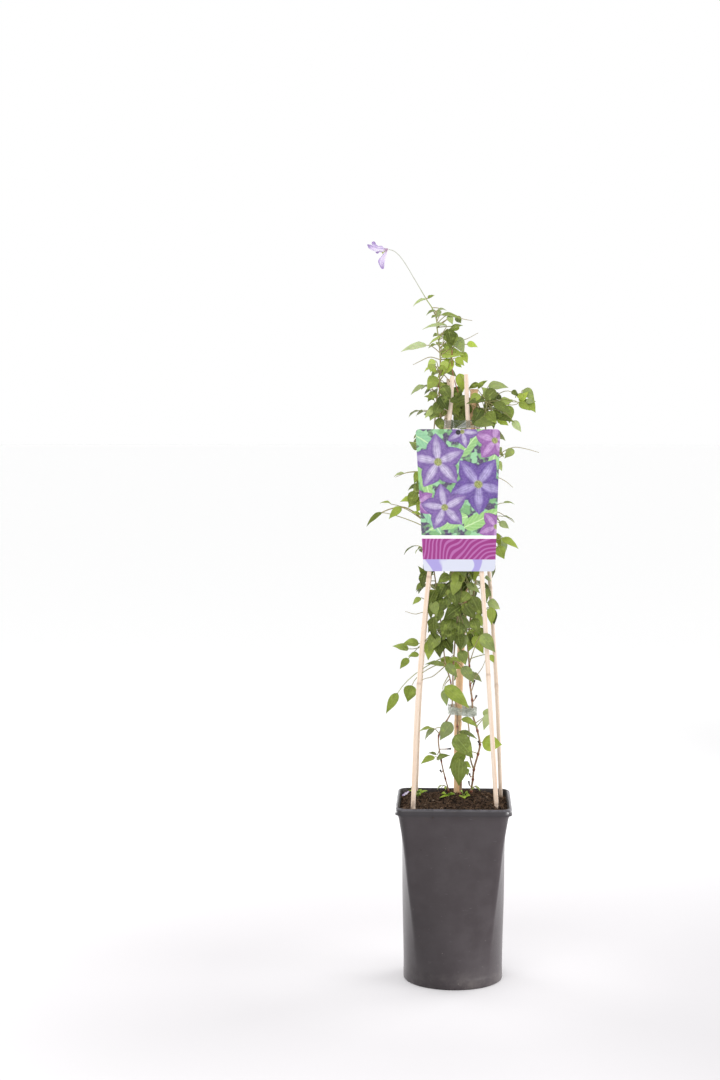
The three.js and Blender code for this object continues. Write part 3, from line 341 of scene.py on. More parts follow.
# ======== Soil ========
# Damp peat compost fills the pot to just below its rim and stands a little higher round the root
# ball. Crumbs and fine root fibres lie loose over it, pressed down as the plant was potted.
SOIL_TOP = 212
MOUNDS = ((12, 9, 12, 1500), (7, 50, -45, 140))     # their rise, their place across and back, their spread
SOIL_INSET = 1.8
SOIL_EDGE = 205                     # the height at which the outline of its top is taken
SOIL_SIDES = 128
SOIL_RINGS = 34                     # rings of its top, from the edge to the middle
SOIL_LEVELS = (2, 60, 120, 165, 200)                # heights of the rings below its top
EDGE_FROM, EDGE_WIDE, EDGE_SINKS = 0.85, 0.15, 2    # shares of the way out, and how far it sinks there
OPEN_DEPTH = 8                      # what lies less deep than this under SOIL_TOP is open to the air
CRUMBS_PER_AREA = 150000
CHUNKS_PER_AREA = 11000
FIBRES_PER_AREA = 52000
CRUMB_SEED, CHUNK_SEED, FIBRE_SEED = 11, 51, 31


def soil_height(x, y):
    mounds = sum(rise * math.exp(-((x - across) ** 2 + (y - back) ** 2) / spread)
                 for rise, across, back, spread in MOUNDS)
    lumps = 0.9 * math.sin(x * 0.43 + 1.3) * math.cos(y * 0.37) + 0.6 * math.sin(x * 0.19 - y * 0.53)
    return SOIL_TOP + mounds + lumps


def soil_ring(z):
    return pot_ring(along(POT_HALF, z) - SOIL_INSET, along(POT_RIDGE, z), along(POT_SOFT, z), z, SOIL_SIDES)


def new_tree(name, inputs):
    """An empty geometry tree with named inputs: its wiring, their sockets and their identifiers."""
    tree = bpy.data.node_groups.new(name, "GeometryNodeTree")
    keys = {}
    for label, kind in inputs:
        socket = tree.interface.new_socket(label, in_out="INPUT", socket_type="NodeSocket" + kind)
        keys[label] = socket.identifier
    tree.interface.new_socket("Shape", in_out="OUTPUT", socket_type="NodeSocketGeometry")
    w = Wiring(tree)
    return w, w.node("NodeGroupInput").outputs, keys


def close_tree(w, shape, skin):
    """Ends the tree in plain geometry that carries its finish."""
    shape = w.out("GeometryNodeRealizeInstances", {"Geometry": shape})
    shape = w.out("GeometryNodeSetMaterial", {"Geometry": shape, "Material": skin})
    w.node("NodeGroupOutput", {"Shape": shape})


def run_tree(piece, tree, keys, **values):
    """Puts the tree on the piece, sets its inputs by identifier, and settles what it makes."""
    modifier = piece.modifiers.new(tree.name, "NODES")
    for label, key in keys.items():
        if label in values:
            modifier[key] = values[label]
    modifier.node_group = tree
    return settle(piece)


def store(w, shape, name, value, kind="FLOAT", domain="POINT"):
    return w.out("GeometryNodeStoreNamedAttribute", {"Geometry": shape, "Name": name, "Value": value},
                 data_type=kind, domain=domain)


def gather(w, *shapes):
    heap = w.node("GeometryNodeJoinGeometry")
    for shape in shapes:
        w.tree.links.new(shape, heap.inputs[0])
    return heap.outputs[0]


def adrift(w, scale, detail, middle):
    """A push that changes from place to place: a cloudy colour less the middle that it strays from."""
    colour = w.noise(w.out("GeometryNodeInputPosition"), scale, detail, 0.5, pick="Color")
    return w.vector("SUBTRACT", colour, middle)


peat = Finish("Dark peat compost", {"Roughness": 0.95, "Specular IOR Level": 0.15})
w = peat
bit = w.named("bit")
pick = w.named("pick")
earth = w.blend(w.remap(w.noise(w.place, 230, 6, 0.7), 0.36, 0.66), (0.009, 0.006, 0.004),
                (0.085, 0.052, 0.034))
earth = w.blend(w.remap(pick, 0.5, 1.0, 0.0, 0.7), earth, (0.16, 0.1, 0.065))
earth = w.blend(w.remap(pick, 0.988, 0.995), earth, (0.26, 0.2, 0.15))
fibre = w.blend(pick, (0.07, 0.04, 0.022), (0.26, 0.165, 0.1))
w.fill(w.shader, {
    "Base Color": w.blend(bit, earth, fibre),
    "Normal": w.bump(w.noise(w.place, 900, 5, 0.75), 0.0006, 0.9)})

soil_rings = [soil_ring(z) for z in SOIL_LEVELS]
for k in range(SOIL_RINGS):
    share = 1 - k / SOIL_RINGS
    sunk = EDGE_SINKS * max(0, (share - EDGE_FROM) / EDGE_WIDE)
    soil_rings.append([(x * share, y * share, soil_height(x * share, y * share) - sunk)
                       for x, y, _ in soil_ring(SOIL_EDGE)])
soil_heap = loft(soil_rings, (0, 0, SOIL_LEVELS[0]), (0, 0, soil_height(0, 0)))
soil = make_piece("potting_soil", *soil_heap, peat.skin)

# Its top is pushed into lumps, and then crumbs, larger chunks and short fibres are strewn over it.
w, given, keys = new_tree("Crumbs and fibres on a bed", (
    ("Bed", "Geometry"), ("Crumbs", "Float"), ("Chunks", "Float"), ("Fibres", "Float"),
    ("Skin", "Material")))
here = w.out("GeometryNodeInputPosition")
open_top = w.calc("GREATER_THAN", w.part(here, "Z"), (SOIL_TOP - OPEN_DEPTH) * MM)
lump = w.times(w.calc("SUBTRACT", w.noise(here, 125, 5, 0.7), 0.54), 0.014)
bed = w.out("GeometryNodeSetPosition", {
    "Geometry": given["Bed"], "Selection": open_top,
    "Offset": w.out("ShaderNodeCombineXYZ", {"Z": w.times(lump, open_top)})})
facing = w.part(w.out("GeometryNodeInputNormal"), "Z")
upward = w.times(w.calc("GREATER_THAN", facing, 0.3), open_top)


def sprinkle(w, bed, where, density, seed, seeds, low, high, tilt):
    """Copies of one small shape strewn over the bed, turned and sized at random."""
    scatter = w.node("GeometryNodeDistributePointsOnFaces",
                     {"Mesh": bed, "Selection": where, "Density": density, "Seed": seed})
    turns = {"Min": (-tilt, -tilt, 0), "Max": (tilt, tilt, 6.28)}
    turned = w.out("FunctionNodeRandomValue", {**turns, "Seed": seed + 1}, data_type="FLOAT_VECTOR")
    grown = w.out("FunctionNodeRandomValue", {"Min": low, "Max": high, "Seed": seed + 2},
                  data_type="FLOAT_VECTOR")
    strewn = w.out("GeometryNodeInstanceOnPoints", {
        "Points": scatter.outputs["Points"], "Instance": seeds,
        "Rotation": w.out("FunctionNodeEulerToRotation", {"Euler": turned}), "Scale": grown})
    chance = w.out("FunctionNodeRandomValue", {"Min": 0.0, "Max": 1.0, "Seed": seed + 3}, data_type="FLOAT")
    strewn = store(w, strewn, "pick", chance, domain="INSTANCE")
    return w.out("GeometryNodeRealizeInstances", {"Geometry": strewn})


crumb = w.out("GeometryNodeMeshIcoSphere", {"Radius": MM, "Subdivisions": 1}, pick="Mesh")
fine = sprinkle(w, bed, upward, given["Crumbs"], CRUMB_SEED, crumb, (0.35, 0.35, 0.3), (2.1, 1.7, 1.2), 1.2)
chunks = sprinkle(w, bed, upward, given["Chunks"], CHUNK_SEED, crumb, (1.5, 1.0, 0.6), (4.2, 2.4, 1.3), 0.9)
crumbs = gather(w, fine, chunks)
ragged = w.vector("SCALE", adrift(w, 620, 2, (0.5, 0.5, 0.5)), scale=0.0046)
crumbs = w.out("GeometryNodeSetPosition", {"Geometry": crumbs, "Offset": ragged})
crumbs = store(w, crumbs, "bit", 0.0)
thread = w.out("GeometryNodeCurvePrimitiveLine", {"Start": (-0.0035, 0, 0), "End": (0.0035, 0, 0)},
               pick="Curve", mode="POINTS")
thread = w.out("GeometryNodeResampleCurve", {"Curve": thread, "Count": 6}, mode="COUNT")
thread_section = w.out("GeometryNodeCurvePrimitiveCircle", {"Resolution": 3, "Radius": 0.00016})
thread = w.out("GeometryNodeCurveToMesh", {"Curve": thread, "Profile Curve": thread_section,
                                           "Fill Caps": True})
fibres = sprinkle(w, bed, upward, given["Fibres"], FIBRE_SEED, thread, (0.4, 0.7, 0.7), (1.8, 1.6, 1.6),
                  0.6)
swept = w.vector("SCALE", adrift(w, 170, 1, (0.5, 0.5, 0.42)), scale=0.008)
fibres = w.out("GeometryNodeSetPosition", {"Geometry": fibres, "Offset": swept})
fibres = store(w, fibres, "bit", 1.0)
close_tree(w, gather(w, bed, crumbs, fibres), given["Skin"])
run_tree(soil, w.tree, keys, Crumbs=float(CRUMBS_PER_AREA), Chunks=float(CHUNKS_PER_AREA),
         Fibres=float(FIBRES_PER_AREA), Skin=peat.skin)
stand_for(soil, "soil", "soil")

# ======== Canes and stake ========
# Four thin bamboo canes, split and peeled to a pale cream, are pushed into the compost at the
# corners and lean together. A thicker stake that keeps its tan rind stands in the middle.
# For each one its radius and the points it passes, the first of them its foot in the compost.
CANES = {
    "cane_front_left": (2.7, [(-46.5, -47, 180), (-47.4, -48.5, 214), (-42.4, -41, 342), (-29.6, -29, 491),
                              (-7.6, -15, 663), (-3.6, -12, 719)]),
    "cane_front_right": (2.7, [(50, -46.5, 196), (50.5, -47, 214), (41.8, -40, 343), (31.4, -29, 491),
                               (14.8, -15, 663), (12.1, -12, 721)]),
    "cane_back_left": (2.5,
                       [(-45, 44, 178), (-46, 45, 212), (-41, 37, 343), (-29, 24, 490), (-11.5, 13.5, 663),
                        (-8.5, 11, 716)]),
    "cane_back_right": (2.4,
                        [(54.5, 38, 178), (57.2, 40, 212), (51.8, 32, 333), (41, 22, 488), (26.5, 14, 663),
                         (25, 13, 694)]),
    "centre_stake": (4, [(4, 10.4, 112), (4.4, 10, 222), (4.6, 9.4, 300), (8, 8, 400), (14.6, 6, 540),
                         (21.9, 4.5, 704)]),
}

SHARPENED = "cane_front_right"      # the one whose foot is whittled to a point
KNUCKLES = (0.33, 0.56, 0.78)       # places along a cane, as shares of its length
# near a knuckle, how much the cane gains, how far past the knuckle, and how far to each side
KNUCKLE_SWELL, KNUCKLE_WAIST, KNUCKLE_SCAR = (0.1, 0, 2.6), (-0.04, 4.5, 1.8), (1, 3.2, 1.6)
STATION = 2.4                       # length of cane between two rings of its mesh


def smooth(points, steps):
    """A centripetal curve through the given points, as steps points for each stretch."""
    knots = [Vector(p) for p in points]
    ends = [knots[0] * 2 - knots[1], *knots, knots[-1] * 2 - knots[-2]]
    path = []
    for a, b, c, d in zip(ends, ends[1:], ends[2:], ends[3:]):
        ta = 0
        tb = ta + (b - a).length ** 0.5
        tc = tb + (c - b).length ** 0.5
        td = tc + (d - c).length ** 0.5
        for k in range(steps):
            t = mix(tb, tc, k / steps)
            p = (a * (tb - t) + b * (t - ta)) / (tb - ta)
            q = (b * (tc - t) + c * (t - tb)) / (tc - tb)
            r = (c * (td - t) + d * (t - tc)) / (td - tc)
            p, q = (p * (tc - t) + q * (t - ta)) / (tc - ta), (q * (td - t) + r * (t - tb)) / (td - tb)
            path.append((p * (tc - t) + q * (t - tb)) / (tc - tb))
    return [*path, knots[-1]]


def spaced(path, step):
    """The path again, with its points a near-equal step apart."""
    lengths = [0]
    for a, b in zip(path, path[1:]):
        lengths.append(lengths[-1] + (b - a).length)
    count = max(2, round(lengths[-1] / step))
    walked, i = [], 0
    for k in range(count + 1):
        want = lengths[-1] * k / count
        while i < len(path) - 2 and lengths[i + 1] < want:
            i += 1
        walked.append(path[i].lerp(path[i + 1], (want - lengths[i]) / (lengths[i + 1] - lengths[i])))
    return walked


def swelling(distance, gain, middle, spread):
    return gain * math.exp(-((distance - middle) / spread) ** 2)


w, given, keys = new_tree("Grown along a path", (
    ("Paths", "Geometry"), ("Sides", "Int"), ("Skin", "Material")))
bars = w.out("GeometryNodeMeshToCurve", {"Mesh": given["Paths"]})
bars = store(w, bars, "run", w.out("GeometryNodeSplineParameter", pick="Length"))
section = w.out("GeometryNodeCurvePrimitiveCircle", {"Resolution": given["Sides"], "Radius": 1.0})
section = store(w, section, "rim", w.out("GeometryNodeInputPosition"), kind="FLOAT_VECTOR")
bars = w.out("GeometryNodeCurveToMesh", {"Curve": bars, "Profile Curve": section, "Scale": w.named("thick"),
                                         "Fill Caps": True})
bars = w.out("GeometryNodeSetShadeSmooth", {"Geometry": bars, "Shade Smooth": True})
close_tree(w, bars, given["Skin"])
path_tree, path_keys = w.tree, keys


def grow(name, bars, sides, skin):
    """Round bars from lists of (point, radius, green) stations, made by the path tree.

    The last value says how fresh a shoot is, or how brown a cane's scar or how green a stamen is.
    """
    stations = [station for bar in bars for station in bar]
    edges, first = [], 0
    for bar in bars:
        edges += [(first + i, first + i + 1) for i in range(len(bar) - 1)]
        first += len(bar)
    mesh = bpy.data.meshes.new(name)
    mesh.from_pydata([Vector(p) * MM for p, _, _ in stations], edges, [])
    set_layer(mesh, "thick", "FLOAT", [radius * MM for _, radius, _ in stations])
    set_layer(mesh, "green", "FLOAT", [green for _, _, green in stations])
    made = bpy.data.objects.new(name, mesh)
    bpy.context.scene.collection.objects.link(made)
    run_tree(made, path_tree, path_keys, Sides=sides, Skin=skin)
    made.data.set_sharp_from_angle(angle=math.radians(50))
    return made


def grain(w, stretch, scale, detail, roughness):
    """Noise drawn out along a bar that the path tree has made."""
    rim = w.named("rim", "FLOAT_VECTOR")
    place = {"X": w.part(rim, "X"), "Y": w.part(rim, "Y"), "Z": w.times(w.named("run"), stretch)}
    return w.noise(w.out("ShaderNodeCombineXYZ", place), scale, detail, roughness)


def bamboo(name, pale, deep, streak, roughness):
    """Bamboo with its grain along the cane, pores as short dark dashes, browned scars and a damp foot."""
    made = Finish(name, {"Specular IOR Level": 0.35})
    w = made
    fine = grain(w, 22.0, 11, 3, 0.6)
    pores = grain(w, 60.0, 16, 1, 0.5)
    wood = w.blend(w.remap(grain(w, 9.0, 1.6, 3, 0.5), 0.35, 0.7), pale, deep)
    wood = w.blend(w.remap(fine, 0.5, 0.72, 0.0, 0.6), wood, streak)
    wood = w.blend(w.remap(pores, 0.68, 0.76, 0.0, 0.45), wood, (0.3, 0.17, 0.09))
    wood = w.blend(w.times(w.named("green"), 0.45), wood, (0.3, 0.16, 0.08))
    foot = w.remap(w.part(w.place, "Z"), 0.212, 0.235, 0.55, 0.0)
    damp = w.times(foot, w.remap(w.noise(w.place, 220, 4, 0.7), 0.35, 0.6))
    w.fill(w.shader, {
        "Base Color": w.blend(damp, wood, (0.05, 0.03, 0.02)),
        "Roughness": w.remap(fine, 0.3, 0.7, roughness, roughness + 0.16),
        "Normal": w.bump(w.calc("ADD", fine, pores), 0.00022, 0.7)})
    return made.skin


pale_bamboo = bamboo("Pale peeled bamboo", (0.84, 0.71, 0.6), (0.76, 0.58, 0.44), (0.66, 0.47, 0.32), 0.5)
tan_bamboo = bamboo("Tan bamboo rind", (0.83, 0.57, 0.34), (0.74, 0.46, 0.24), (0.55, 0.31, 0.14), 0.38)

for cane, (radius, path) in CANES.items():
    stake = cane == "centre_stake"
    stations = []
    walked = spaced([Vector(path[0]), *smooth(path[1:], 8)], STATION)
    spans = len(walked) - 1
    for i, point in enumerate(walked):
        t = i / spans
        away = [(t - knuckle) * STATION * spans for knuckle in KNUCKLES]
        swell = sum(swelling(d, *KNUCKLE_SWELL) + swelling(d, *KNUCKLE_WAIST) for d in away)
        scar = sum(swelling(d, *KNUCKLE_SCAR) for d in away)
        taper = mix(1.02, 1.15 if stake else 0.94, t)
        whittled = min(1, 0.22 + 14 * t) if cane == SHARPENED else 1
        stations.append((point, radius * taper * (1 + swell) * whittled, scar))
    bar = grow(cane + "_bamboo", [stations], 26 if stake else 20, tan_bamboo if stake else pale_bamboo)
    stand_for(bar, "tan_bamboo" if stake else "pale_bamboo", cane)

# ======== Leafy stems ========
# Four young shoots climb between the canes: wiry, red-brown and woody below and greener above,
# with tendril-like leaf stalks that hook round the canes and pointed leaflets in threes.

# A branch is the path of a second shoot. A leaflet row is its joint, the blade's foot and tip, its
# width, and how far it leans from facing up (0) to facing forwards (90). It may go on with how light
# the blade is, which is partly painted light and shade, and how greyed. A leaf row is a joint, its turn,
# its rise, the length of its stalk and the length of its three leaflets. A tendril row is a joint and
# the path from there.
STEMS = {
    "left_stem": {
        "radius": [1.1, 0.75],
        "joints": [
            (-6, 13, 224), (-10, 11, 240), (-15, 6, 263), (-18, 2, 294), (-9, 1, 311), (-3, -1, 324),
            (-4, -5, 359), (-10, -7, 379), (-13, -8, 403), (-17, -10, 439), (-21, -9, 469), (-26, -6, 504),
            (-29, -3, 539), (-32, 0, 568), (-30, 0, 604), (-27, -2, 639), (-24, -4, 668), (-22, -7, 692)],
        "branches": [
            [(-29, -3, 539), (-44, -5, 557), (-60, -6, 566), (-76, -8, 564), (-86, -10, 560)]],
        "leaflets": [
            [2, (-23, -4, 269), (-39, -10, 261), 10, 35], [2, (-20, -4, 266), (-5, -10, 273), 9, 40, 0.02],
            [2, (-21, 4, 270), (-31, 8, 272), 6, 20], [3, (-25, -4, 303), (-41, -9, 301), 9, 12],
            [3, (-3, -16, 312), (-18, -22, 293), 16, 70, 0.32, 1],
            [3, (-23, 6, 301), (-36, 16, 286), 9, 40],
            [6, (-11, -16, 355), (19, -22, 331), 17, 62, 0.36, 0],
            [6, (-13, -12, 350), (-7, -15, 332), 9, 75, 0.4],
            [7, (-12, -15, 380), (-34, -19, 383), 9, 35, 0.22],
            [7, (-9, -18, 382), (4, -23, 367), 12, 65, 0.25],
            [8, (-42, -14, 406), (-62, -18, 407), 12, 48, 0.35],
            [8, (-54, -10, 399), (-73, -14, 402), 10, 52],
            [8, (-42, -12, 393), (-54, -16, 390), 8, 50, 0.35],
            [8, (-54, -14, 388), (-64, -18, 376), 9, 60, 0.25],
            [7, (-50, -8, 355), (-56, -12, 336), 16, 80], [7, (-67, -10, 346), (-81, -14, 322), 11, 75],
            [9, (-40, -12, 460), (-49, -16, 452), 7, 50, 0.5],
            [10, (-37, -10, 477), (-46, -14, 469), 7, 40], [10, (-36, -12, 485), (-42, -14, 498), 7, 40],
            [12, (-63, -10, 566), (-78, -14, 553), 10, 60, 0.55],
            [12, (-75, -6, 570), (-88, -8, 572), 8, 15], [12, (-86, -10, 560), (-105, -13, 545), 7, 45],
            [12, (-40, -8, 557), (-51, -12, 560), 7, 30], [13, (-48, -4, 575), (-64, -8, 573), 11, 40],
            [13, (-42, -6, 578), (-55, -12, 566), 12, 60, 0.26],
            [13, (-39, -4, 589), (-50, -10, 584), 13, 55],
            [13, (-36, -8, 575), (-44, -12, 560), 13, 70, 0.43],
            [14, (-41, -2, 607), (-48, -6, 594), 11, 70, 0.3],
            [14, (-36, -4, 598), (-46, -10, 581), 13, 70, 0.1], [14, (-60, -2, 606), (-72, -4, 602), 6, 25],
            [15, (-44, -6, 634), (-54, -10, 643), 9, 60, 0.27],
            [16, (-26, -18, 679), (-36, -22, 671), 8, 50, 0.84, 0.6],
            [16, (-25, -16, 692), (-36, -20, 696), 9, 40, 0.23],
            [16, (-22, -14, 682), (-30, -20, 668), 14, 70, 0.46],
            [16, (-17, -20, 688), (-25, -24, 673), 14, 75, 0.05],
            [17, (-36, -12, 708), (-53, -16, 698), 8, 35, 0.62, 1],
            [17, (-22, -12, 718), (-34, -16, 703), 14, 70, 0.45],
            [17, (-23, -12, 700), (-33, -18, 690), 10, 60, 0.3],
            [17, (-16, -20, 707), (-5, -24, 692), 14, 70, -0.17],
            [17, (-18, -24, 696), (-9, -26, 679), 15, 75, -0.43],
            [17, (-6, -24, 692), (4, -26, 688), 10, 50, -0.1]],
        "leaves": [
            [10, 132, 10, 22, 16], [11, 160, 15, 22, 15], [13, 120, 25, 22, 16], [15, 130, 20, 20, 15],
            [16, 150, 15, 20, 15], [17, 144, 50, 20, 12], [0, 200, 40, 9, 7]],
        "tendrils": [
            [9, [(-36, -14, 443), (-46, -16, 441), (-58, -15, 444)]],
            [7, [(-26, -10, 366), (-34, -12, 364), (-44, -12, 359)]],
            [14, [(-44, 0, 607), (-58, -2, 606), (-70, -3, 601)]]],
    },
    "right_stem": {
        "radius": [1.7, 0.8],
        "joints": [
            (21, 11, 224), (23, 8, 240), (24, 5, 252), (29, 2, 272), (31, 1, 283), (28, 0, 300),
            (22.5, 0, 319), (21.5, -1, 337), (19, -2, 355), (18, -3, 378), (16, -4, 403), (19, -4, 435),
            (23, -1, 468), (28, 2, 504), (33, 4, 539), (36, 5, 574), (37, 5, 610), (36, 5, 645),
            (35, 5, 670), (37, 4, 689)],
        "branches": [
            [(24, 5, 252), (20, -2, 266), (18, -6, 284), (18, -7, 301), (15, -6, 322), (13.5, -8, 338)]],
        "leaflets": [
            [4, (34, 8, 285), (58, 12, 280), 20, 75, 0.67, 0.1],
            [5, (41, -4, 321), (35, -9, 302), 10, 75, 0.8, 1], [5, (36, 4, 317), (43, 10, 327), 8, 50],
            [9, (31, -43, 420), (49, -46, 401), 16, 80, 0.19], [9, (42, -8, 392), (47, -10, 383), 7, 60],
            [10, (23, -14, 415), (34, -18, 394), 13, 70, 0.46],
            [10, (28, -11, 424), (38, -12, 411), 10, 65, 0.17], [11, (39, 4, 453), (55, 10, 446), 13, 60],
            [11, (45, 3, 446), (46, 6, 426), 10, 70], [12, (35, 4, 468), (44, 6, 460), 9, 55],
            [12, (36, 6, 482), (44, 12, 478), 9, 40], [13, (50, -2, 520), (58, -4, 505), 13, 75, 0.45],
            [13, (55, 0, 529), (76, 2, 518), 10, 50, 0.49], [13, (46, 4, 535), (54, 4, 520), 10, 60],
            [14, (52, 0, 548), (64, 2, 541), 9, 60, 0.67], [14, (57, 6, 571), (70, 8, 570), 6, 20],
            [16, (68, 4, 634), (58, 2, 623), 10, 70, 0.45], [16, (48, 8, 619), (56, 8, 609), 9, 50],
            [18, (40, -8, 694), (31, -10, 706), 13, 60, 0.52],
            [18, (44, -10, 687), (67, -8, 675), 12, 55, -0.06], [18, (43, -8, 673), (69, -8, 665), 11, 50],
            [18, (34, -20, 691), (13, -31, 686), 10, 45, -0.34],
            [18, (30, -16, 682), (22, -22, 665), 14, 72, -0.47],
            [18, (52, 2, 688), (67, 4, 691), 11, 70, 0.59], [18, (16, -5, 686), (10, -7, 670), 12, 75],
            [19, (26, -4, 705), (37, -6, 714), 8, 40], [19, (38, -2, 707), (62, 0, 707), 12, 55, 0.42, 1],
            [19, (46, -10, 703), (33, -14, 690), 14, 70, 0.1],
            [19, (36, -16, 677), (48, -20, 664), 13, 60, 0.14], [19, (65, 4, 701), (74, 6, 696), 8, 50],
            [19, (75, 4, 689), (85, 6, 702), 8, 60, 0.77], [19, (82, 2, 689), (94, 4, 690), 8, 55, 0.45, 1],
            [19, (74, 0, 688), (87, 0, 678), 9, 65, 0.4], [19, (67, 0, 667), (77, 0, 654), 9, 75, 0.98, 1],
            [18, (52, -6, 677), (41, -8, 667), 13, 60], [18, (27, -20, 698), (17, -26, 687), 11, 65],
            [19, (49, 2, 668), (62, 2, 661), 10, 50, 0.94]],
        "leaves": [
            [12, 74, 15, 26, 15], [14, 4, 25, 24, 14], [16, 62, 20, 24, 13], [17, 55, 15, 20, 15],
            [18, 80, 10, 22, 16], [19, 60, 45, 18, 14], [0, 320, 30, 8, 7]],
        "tendrils": [
            [16, [(52, 5, 628), (68, 4, 636), (84, 3, 634), (98, 2, 630)]],
            [14, [(48, 4, 560), (58, 4, 556), (70, 3, 548)]],
            [8, [(26, -2, 366), (33, -3, 376), (38, -2, 388)]],
            [15, [(48, 6, 600), (58, 6, 597), (68, 6, 589)]]],
    },
    "front_stem": {
        "radius": [1.5, 0.8],
        "joints": [
            (8, 2, 223), (8, -3, 240), (5, -4, 284), (4, -5, 306), (3.5, -6, 326), (-1, -9, 350),
            (-1, -12, 380), (1, -13, 410), (4, -14, 440), (6, -14, 469), (8, -14, 492), (7, -14, 514)],
        "branches": [],
        "leaflets": [
            [1, (7, -16, 269), (4, -20, 237), 20, 80, 0.2], [1, (10, -12, 263), (21, -17, 259), 9, 35],
            [1, (15, -9, 256), (17, -12, 248), 6, 60], [2, (1, -18, 297), (24, -26, 272), 22, 72, 0.04],
            [2, (9, -24, 318), (29, -25, 309), 10, 35, 0.26], [2, (6, -14, 301), (28, -17, 293), 9, 25],
            [6, (10, -22, 380), (23, -28, 361), 13, 68], [6, (-5, -17, 388), (9, -21, 386), 8, 30],
            [7, (8, -22, 399), (13, -27, 382), 13, 75], [11, (5, -18, 492), (3, -23, 470), 17, 78, 0.24],
            [11, (-6, -15, 487), (-20, -18, 478), 12, 60, 0.16],
            [10, (-3, -19, 475), (4, -24, 450), 18, 74, -0.34],
            [10, (-11, -16, 477), (-21, -20, 457), 16, 70],
            [10, (14, -15, 477), (30, -18, 466), 10, 45, 0.35],
            [10, (16, -17, 467), (6, -21, 454), 14, 70, 0.13],
            [10, (20, -18, 462), (30, -23, 439), 16, 74, 0.1], [9, (8, -20, 451), (-15, -25, 436), 17, 66],
            [9, (11, -20, 454), (24, -25, 435), 16, 72, 0.04],
            [9, (-14, -16, 447), (-24, -19, 428), 10, 70], [9, (-22, -17, 433), (-32, -20, 420), 9, 60],
            [8, (-3, -19, 436), (-14, -24, 411), 20, 76], [8, (6, -20, 432), (3, -25, 407), 17, 78, -0.23],
            [8, (11, -17, 418), (7, -21, 397), 14, 78, 0.3], [8, (21, -16, 436), (30, -20, 418), 13, 70, 0],
            [7, (-20, -17, 418), (-30, -21, 397), 16, 76], [7, (-13, -15, 414), (-16, -18, 394), 12, 80],
            [9, (-28, -14, 456), (-29, -16, 434), 8, 80, 0.14], [7, (-8, -15, 413), (-4, -17, 398), 9, 78]],
        "leaves": [
            [11, 162, 25, 18, 14]],
        "tendrils": [],
    },
    "tall_stem": {
        "radius": [1.4, 0.6],
        "joints": [
            (9, 19, 223), (9, 19, 245), (7, 16.4, 302), (8, 15.2, 322), (9, 15.8, 360), (12, 17, 408),
            (14, 17, 455), (9, 15, 503), (1, 10, 550), (-8, 5, 598), (-15, 1, 639), (-17.5, -0.5, 670),
            (-19, -1, 713), (-18, 0, 738), (-20, 0, 761), (-22, 0, 775), (-23, 0, 786), (-28, 0, 798),
            (-34, 0, 807), (-40, 0, 817), (-49, 0, 832), (-60, 0, 850), (-67, 0, 859), (-73, 0, 863.6),
            (-78.2, 0, 865.2)],
        "branches": [
            [(-19, -1, 713), (-13, -2, 722), (-8, -3, 734), (-4, -1, 746), (-3, 1, 758), (-8, 0, 773)]],
        "leaflets": [
            [18, (-35, -2, 808), (-51, -4, 801), 6, 30, 1, 1], [18, (-33, 2, 809), (-25, 4, 813), 5, 40],
            [16, (-24, -3, 795), (-35, -5, 790), 6, 25], [16, (-21, 3, 796), (-11, 5, 796), 6, 25],
            [16, (-24, -4, 789), (-29, -6, 786), 4, 40], [15, (-17, -2, 790), (8, -4, 785), 8, 35],
            [15, (0, 4, 788), (6, 6, 780), 8, 70], [15, (-9, -5, 789), (-3, -8, 779), 8, 70, 0.6, 0.7],
            [14, (-11, -2, 778), (-39, -4, 773), 8, 30, 0.95, 1],
            [14, (-6, -2, 774), (8, -4, 778), 7, 45, 0.3], [13, (-4, -10, 771), (-8, -14, 750), 16, 85],
            [13, (-15, -6, 765), (-32, -8, 754), 6, 25],
            [13, (-34, 0, 755), (-64, -2, 747), 11, 45, 1.15, 1],
            [13, (0, 0, 764), (9, -4, 745), 14, 80, 0.5, 0.8], [13, (13, 2, 756), (26, 4, 754), 9, 55],
            [13, (-2, 4, 749), (-12, 2, 740), 10, 70], [13, (7, 6, 747), (14, 6, 734), 9, 70],
            [12, (-24, -4, 737), (-33, -6, 730), 9, 60, 1.08], [12, (-23, -4, 724), (-33, -6, 730), 8, 50],
            [12, (-13, -7, 737), (-13, -9, 723), 10, 80], [12, (0, -6, 740), (10, -8, 731), 9, 65],
            [11, (-5, 0, 690), (4, -5, 673), 14, 72, 0.15], [11, (-4, 6, 684), (8, 5, 669), 13, 68],
            [12, (-2, 1, 706), (7, -2, 692), 12, 62]],
        "leaves": [
            [4, 80, 20, 26, 17], [5, 120, 10, 30, 18], [6, 90, 25, 34, 17], [6, 142, 15, 26, 16],
            [7, 70, 20, 34, 17], [8, 95, 20, 36, 17], [9, 67, 20, 30, 16], [10, 59, 20, 34, 16],
            [11, 95, 20, 38, 15], [12, 80, 30, 22, 14], [13, 100, 35, 17, 12], [14, 60, 30, 13, 10],
            [12, 250, 25, 28, 13]],
        "tendrils": [
            [14, [(-8, 2, 766), (8, 2, 761), (26, 2, 769)]],
            [15, [(-2, -2, 789), (8, -3, 785), (19, -3, 783)]],
            [13, [(-30, -2, 741), (-42, -3, 736), (-50, -3, 732)]]],
    },
}

